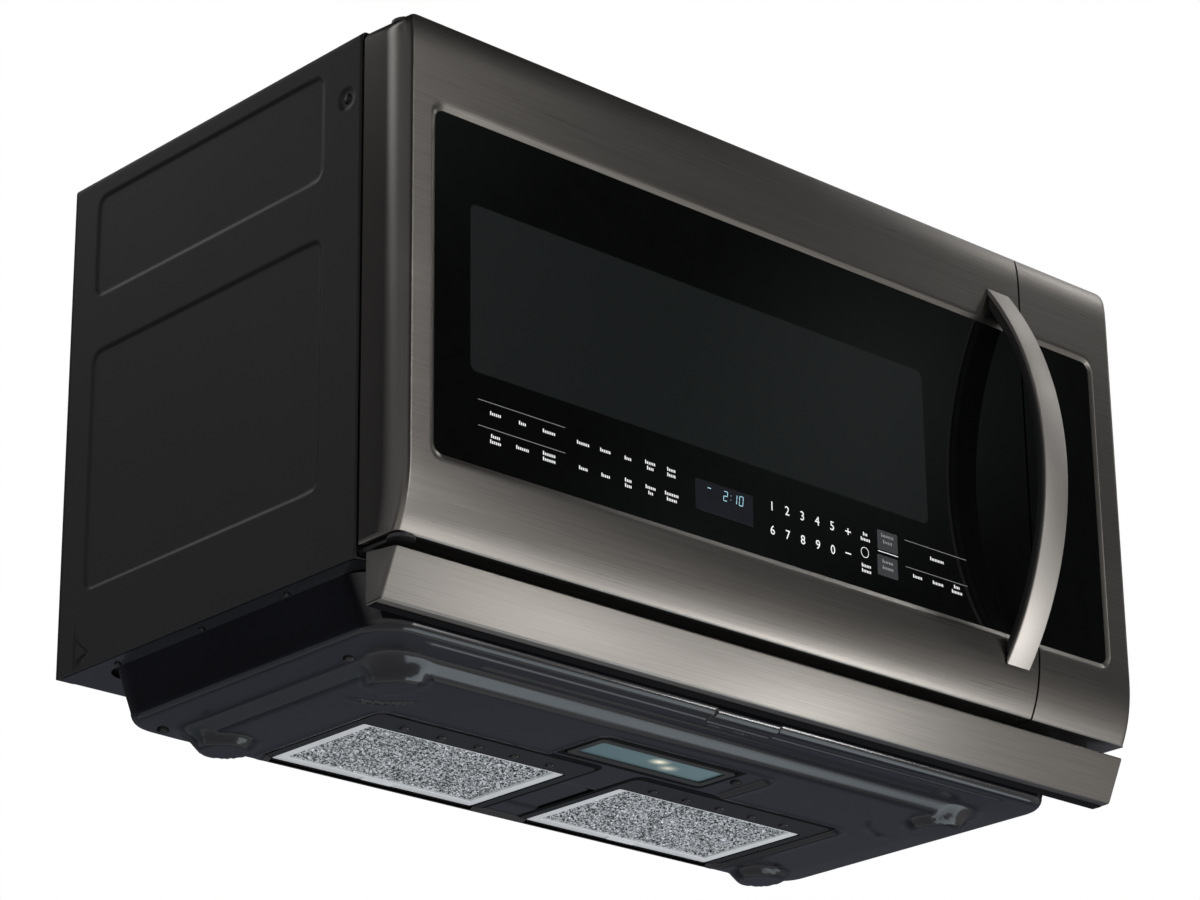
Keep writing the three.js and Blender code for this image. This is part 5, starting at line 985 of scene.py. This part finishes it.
def filter_foil(side, name, node, body, seed):
    """Crumpled mesh: random heights on a fine grid, blurred a little so facets catch light."""
    x0, x1 = mirrored(side, FILTER_X)
    xs = np.arange(x0 + 6, x1 - 5.5, FOIL_STEP)
    ys = np.arange(FILTER_Y[0] + 2, FILTER_Y[1] - 7, FOIL_STEP)
    random = np.random.default_rng(seed)
    rough = random.normal(0, 1, (len(xs), len(ys)))
    soft = sum(np.roll(rough, shift, (0, 1)) for shift in ((0, 0), (1, 0), (0, 1), (1, 1))) / 2
    x, y = np.meshgrid(xs, ys, indexing="ij")
    x = x + random.uniform(-0.3, 0.3, x.shape)
    y = y + random.uniform(-0.3, 0.3, y.shape)
    top = np.stack([x, y, FOIL_HEIGHT + 0.45 * np.clip(soft, -2.2, 2.2)], axis=-1)
    make(name, [(top, False)], body, FOIL, nodes=(node,), towards=(0, 0, -1), sharp=20)


# ------------------------------------------------------------------ print on the glass
PRINT_Y = GLASS_FRONT - 0.12
TICK_STEP = 1.75
TICK_HALF = 0.5
TICK_DROP = 1.05  # from a row's middle down to the ticks' feet
TICK_HEIGHTS = (2.9, 2.1)  # the first of a row and the others
STROKE = 0.28
SHEAR = 0.12
UPPER_LEGENDS = (  # x, and the ticks of each row
    (-298, (6,)), (-273, (4,)), (-248, (7,)), (-215.5, (7,)), (-194, (6,)), (-172, (4,)),
    (-150, (6, 4)), (-129, (5, 5)), (74, (3, 6)), (154, (9,)))
LOWER_LEGENDS = (
    (-298, (5, 6)), (-273, (7,)), (-248, (7, 7)), (-215.5, (5,)), (-194, (5,)), (-172, (4, 4)),
    (-150, (6, 3)), (-129, (8, 6)), (131, (6,)), (154, (7,)), (175.5, (4, 7)))
RULES = (  # x0, x1 and z
    (-314.0, -232.5, 110.0), (-314.0, -232.5, 90.6), (118.0, 188.0, 110.6), (118.0, 188.0, 89.0))
RING_KEY = (73.0, 89.5)
RING_RADII = (4.3, 4.25, 3.85, 3.8)
SEGMENTS = {  # (x0, z0, x1, z1) of a digit's strokes in a unit-wide, two-unit-high cell
    "a": (0, 2, 1, 2), "b": (1, 1, 1, 2), "c": (1, 0, 1, 1), "d": (0, 0, 1, 0),
    "e": (0, 0, 0, 1), "f": (0, 1, 0, 2), "g": (0, 1, 1, 1),
}
DIGIT_STROKES = {"0": "abcdef", "1": "bc", "2": "abged"}


def bars(name, boxes, look, y=PRINT_Y, depth=0.1, radius=0.3):
    """Flat marks printed on the door: one thin rounded plate for each (x0, x1, z0, z1)."""
    patches = []
    for box in boxes:
        corner = min(radius, (box[1] - box[0]) / 2.2, (box[3] - box[2]) / 2.2)
        patches += prism(inset_box(box, corner, 2), (y, y + depth), 0.04, "y", steps=1)
    make(name, patches, "door", look, sharp=15)


def numerals(name, texts, size, body, look):
    """Plain numbers flat on the glass, one mesh: each (text, x, z) is set in the built-in font."""
    bm = bmesh.new()
    for text, x, z in texts:
        curve = bpy.data.curves.new(name, "FONT")
        curve.body = text
        curve.size = size * MM
        curve.align_x = "CENTER"
        curve.align_y = "CENTER"
        curve.extrude = 0.05 * MM
        holder = bpy.data.objects.new(name, curve)
        mesh = bpy.data.meshes.new_from_object(holder)
        upright = Matrix.Rotation(math.pi / 2, 4, "X")
        mesh.transform(Matrix.Translation((x * MM, PRINT_Y * MM, z * MM)) @ upright)
        bm.from_mesh(mesh)
        bpy.data.objects.remove(holder)
    joined = bpy.data.meshes.new(name)
    bm.to_mesh(joined)
    bm.free()
    joined.materials.clear()
    joined.materials.append(look)
    obj = add_object(name, joined)
    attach(obj, body)


def clock_strokes(text, left, low, height):
    """Slanted seven-stroke digits: each stroke is a thin bar, sheared by SHEAR of its height."""
    unit = height / 2
    strokes, x = [], left
    for sign in text:
        if sign == ":":
            x += 0.25 * unit
            strokes += [(x, low + z * unit, x, low + z * unit + 0.1) for z in (0.55, 1.45)]
            x += 0.6 * unit
            continue
        for ax, az, bx, bz in (SEGMENTS[letter] for letter in DIGIT_STROKES[sign]):
            strokes.append((x + ax * unit, low + az * unit, x + bx * unit, low + bz * unit))
        x += 1.75 * unit
    surfaces = []
    for ax, az, bx, bz in strokes:
        grow_x, grow_z = (STROKE - (0.12 * unit if a != b else 0) for a, b in ((ax, bx), (az, bz)))
        line = rounded(min(ax, bx) - grow_x, max(ax, bx) + grow_x,
                       min(az, bz) - grow_z, max(az, bz) + grow_z, 0.2, 2)
        line[:, 0] += (line[:, 1] - low) * SHEAR
        front, back = placed(line, PRINT_Y - 0.08, "y"), placed(line, PRINT_Y + 0.02, "y")
        surfaces += [(np.stack([back, front]), True), capped(front), capped(back)]
    make("clock_digits", surfaces, "door", DIGITS, sharp=40)


def ticks(centre_x, centre_z, counts, pitch=4.2):
    """Rows of small upright ticks that mark a key; counts gives the ticks of each row."""
    boxes = []
    for row, count in enumerate(counts):
        foot = centre_z + pitch * ((len(counts) - 1) / 2 - row) - TICK_DROP
        for i in range(count):
            x = centre_x + TICK_STEP * (i - (count - 1) / 2)
            boxes.append((x - TICK_HALF, x + TICK_HALF, foot, foot + TICK_HEIGHTS[min(i, 1)]))
    return boxes


def glass_print():
    """Keys and marks on the door's glass: numbers, small ticks, thin rules and two blank keys."""
    upper, lower = KEY_ROWS
    numbers = [(str((i + 1) % 10), -26.0 + 16.0 * (i % 5), KEY_ROWS[i // 5]) for i in range(10)]
    # The key numbers, marks, rules and ring carry the print's painted glow.
    numerals("key_numbers", numbers, 10.2, "door", LEGEND_PAINTED_GLOW)
    marks = [(52.2, 58.4, upper - 0.5, upper + 0.5), (54.8, 55.8, upper - 2.7, upper + 2.7),
             (51.6, 57.8, lower + 0.8, lower + 1.8), (87.5, 109.8, 94.4, 95.0)]  # plus, minus, rule
    marks += ticks(98.6, 105.5, (8, 6), 5.0) + ticks(98.0, 84.5, (7, 7), 5.0)
    marks += ticks(74.0, lower - 6.5, (6, 6))
    for z, legends in ((upper, UPPER_LEGENDS), (lower, LOWER_LEGENDS)):
        for x, rows in legends:
            marks += ticks(x, z, rows)
    # Marks and rules in print with a painted glow.
    bars("key_marks", marks, LEGEND_PAINTED_GLOW, radius=0.2)
    bars("key_rules", [(x0, x1, z - 0.25, z + 0.25) for x0, x1, z in RULES], FAINT_PAINTED_GLOW)
    bars("blank_keys", [(87.5, 109.8, 96.3, 112.0), (86.6, 109.0, 75.5, 91.8)],
         KEY_PAD, radius=0.8)
    ring = [placed(RING_KEY + r * circle(40), PRINT_Y - 0.02 * (r < 4), "y") for r in RING_RADII]
    make("key_ring", [(np.stack(ring), True)], "door", LEGEND_PAINTED_GLOW, towards=(0, -1, 0))
    bars("display_pane", [(-105.0, -46.0, 81.0, 105.0)], DISPLAY, radius=0.6)
    clock_strokes("2:10", -76.5, 94.2, 7.4)
    bars("display_mark", [(-92.5, -89.0, 99.8, 100.5)], DIGITS, y=PRINT_Y - 0.08)


# ------------------------------------------------------------------ studio
PLAIN, COOL = (1.0, 1.0, 1.0), (0.8, 0.92, 1.0)
MIDDLE = Vector((0.0, -0.3, 0.1))  # the lamps look here, in metres
LAMPS = (  # name, azimuth, elevation, distance, size, power and colour
    ("low_left", -58.5, -25.0, 3.2, (0.5, 0.7), 6.2, PLAIN),
    ("low_middle", -42.6, -25.0, 3.2, (0.1, 0.7), 7.0, PLAIN),
    ("tall_left", -64.0, 12.0, 3.4, (0.3, 2.0), 10.0, PLAIN),
    ("high_right", -27.0, 36.0, 3.4, (0.25, 0.4), 2.8, PLAIN),
    ("far_right", -22.0, 24.0, 3.4, (0.15, 0.5), 2.0, PLAIN),
    ("high_side", -8.0, 46.0, 3.2, (0.5, 0.5), 2.5, PLAIN),
    ("high_back", 114.0, 38.0, 3.0, (0.7, 0.9), 2.6, PLAIN),
    ("top_edge", 34.0, 33.0, 3.2, (1.0, 0.8), 8.0, PLAIN),
    ("under_left", 112.0, -38.0, 2.4, (1.4, 1.1), 1.2, COOL),
    ("under_right", -16.0, -58.0, 1.6, (0.8, 1.2), 5.5, COOL))
GLOWS = (  # azimuth, elevation, reach and level of the soft patches that the black glass mirrors
    (-42.6, 22.5, 0.058, 0.16), (-45.6, 20.0, 0.05, 0.09), (-50.5, 27.5, 0.06, 0.12))
FLOOR_Z = -1.6
FLOOR_CORNERS = ((-1.6, -1.8), (1.6, -1.8), (1.6, 1.4), (-1.6, 1.4))


def pointing(azimuth, elevation):
    """Unit vector from degrees: azimuth from +X towards +Y, elevation from level."""
    azimuth, elevation = math.radians(azimuth), math.radians(elevation)
    flat = math.cos(elevation)
    return Vector((flat * math.cos(azimuth), flat * math.sin(azimuth), math.sin(elevation)))


def softbox(name, azimuth, elevation, distance, size, power, colour):
    """A rectangular lamp that looks at the middle of the object."""
    data = bpy.data.lights.new(name, "AREA")
    data.shape = "RECTANGLE"
    data.size, data.size_y = size
    data.energy = power
    data.color = colour
    obj = add_object(name, data)
    way = pointing(azimuth, elevation)
    obj.location = MIDDLE + way * distance
    obj.rotation_euler = (-way).to_track_quat("-Z", "Y").to_euler()


def camera(scene):
    """The camera solved from the photograph's corners."""
    data = bpy.data.cameras.new("camera")
    data.lens = LENS
    data.sensor_width = 36.0
    data.clip_start, data.clip_end = 0.05, 100.0
    obj = add_object("camera", data)
    turn = Matrix.Rotation(math.radians(HEADING), 4, "Z")
    turn = turn @ Matrix.Rotation(math.radians(90 + PITCH), 4, "X")
    turn = turn @ Matrix.Rotation(math.radians(ROLL), 4, "Z")
    obj.matrix_world = Matrix.Translation(EYE) @ turn
    scene.camera = obj


def pale_floor():
    """A matt floor well below the part, which lights it from under."""
    mat, n, shader = material("pale_floor")
    soft = n.noise(n.where(), 3.0, 2.0)
    n.feed(shader, {"Base Color": n.mix(soft, 0.48, 0.52),
                    "Roughness": 0.9})
    mesh = bpy.data.meshes.new("floor")
    mesh.from_pydata([(x, y, FLOOR_Z) for x, y in FLOOR_CORNERS], [], [(0, 1, 2, 3)])
    mesh.materials.append(mat)
    floor = add_object("floor", mesh)


def surroundings(scene):
    """World: white to the camera, even to diffuse rays, and a shaded room to glossy ones.

    The room is pale below and dark above, dimmer behind and on the left flank, with a grey band
    at the upper left and the soft patches of GLOWS.
    """
    world = bpy.data.worlds.new("studio")
    scene.world = world
    world.use_nodes = True
    world.node_tree.nodes.clear()
    n = Nodes(world.node_tree)
    ray = n.add("ShaderNodeLightPath").outputs
    where = n.add("ShaderNodeTexCoord").outputs["Generated"]
    look = n.add("ShaderNodeSeparateXYZ", {0: where}).outputs
    low = n.math("POWER", n.math("MULTIPLY_ADD", look[2], -2.6, 0.55, clamp=True), 1.5)
    left = n.math("MULTIPLY", look[0], -1.3, clamp=True)
    behind = n.math("MULTIPLY_ADD", look[1], 1.6, 0.5, clamp=True)
    risen = n.math("MULTIPLY_ADD", look[2], 4.5, -0.35, clamp=True)
    fallen = n.math("MULTIPLY_ADD", look[2], -4.5, 2.7, clamp=True)
    band = n.math("MULTIPLY", left, n.math("MULTIPLY", risen, fallen))
    upper = n.mix(band, 0.016, (0.42, 0.42, 0.44))
    flank = n.mix(n.math("MULTIPLY", left, behind), (0.115, 0.12, 0.145), (0.02, 0.02, 0.024))
    room = n.mix(low, upper, n.mix(behind, (0.62, 0.61, 0.60), flank))
    for azimuth, elevation, reach, level in GLOWS:
        offset = n.vector("SUBTRACT", where, pointing(azimuth, elevation))
        far = n.vector("LENGTH", offset, result="Value")
        glow = n.math("POWER", n.math("MULTIPLY_ADD", far, -1 / reach, 1.0, clamp=True), 1.4)
        room = n.mix(glow, room, (0.9 * level, level, 0.97 * level))
    light = n.mix(ray["Is Glossy Ray"], (0.75, 0.75, 0.76), room)
    seen = n.mix(n.math("MAXIMUM", ray["Is Camera Ray"], ray["Is Transmission Ray"]), light, 1.0)
    background = n.add("ShaderNodeBackground", {"Color": seen, "Strength": 1.0})
    n.add("ShaderNodeOutputWorld", {0: background.outputs[0]})


def studio():
    """Camera, pale floor, world and soft lamps."""
    scene = bpy.context.scene
    scene.view_settings.view_transform = "Standard"
    camera(scene)
    pale_floor()
    surroundings(scene)
    for lamp in LAMPS:
        softbox(*lamp)


# ------------------------------------------------------------------ the object
dress_nodes()
cabinet_wrap()
side_screws()
facing("door_facing", "door_skin", "door", DOOR_SEAM, -HALF, GLASS_LEFT)
facing("panel_facing", "side_panel_frame", "cabinet", PANEL_SEAM, HALF, GLASS_RIGHT)
vent_front()
for piece, sizes, surface, look, node in (
        ("handle_face", (276.5, 273.0, 13.3, 1.1), "handle_steel", HANDLE_STEEL, "handle_strap"),
        ("handle_back", (272.8, 266.2, 12.3, 1.5), "satin_black", LINER, "handle_liner")):
    make(piece, handle_band(*sizes), "door", look, nodes=(node,), sharp=40)
base_pan()
pan_details()
for side, word in ((-1, "left"), (1, "right")):
    filter_frame(side, f"frame_{word}", f"filter_frame_{word}", f"filter_{word}")
    filter_foil(side, f"foil_{word}", f"filter_mesh_{word}", f"filter_{word}", 7 + side)
glass_print()
studio()
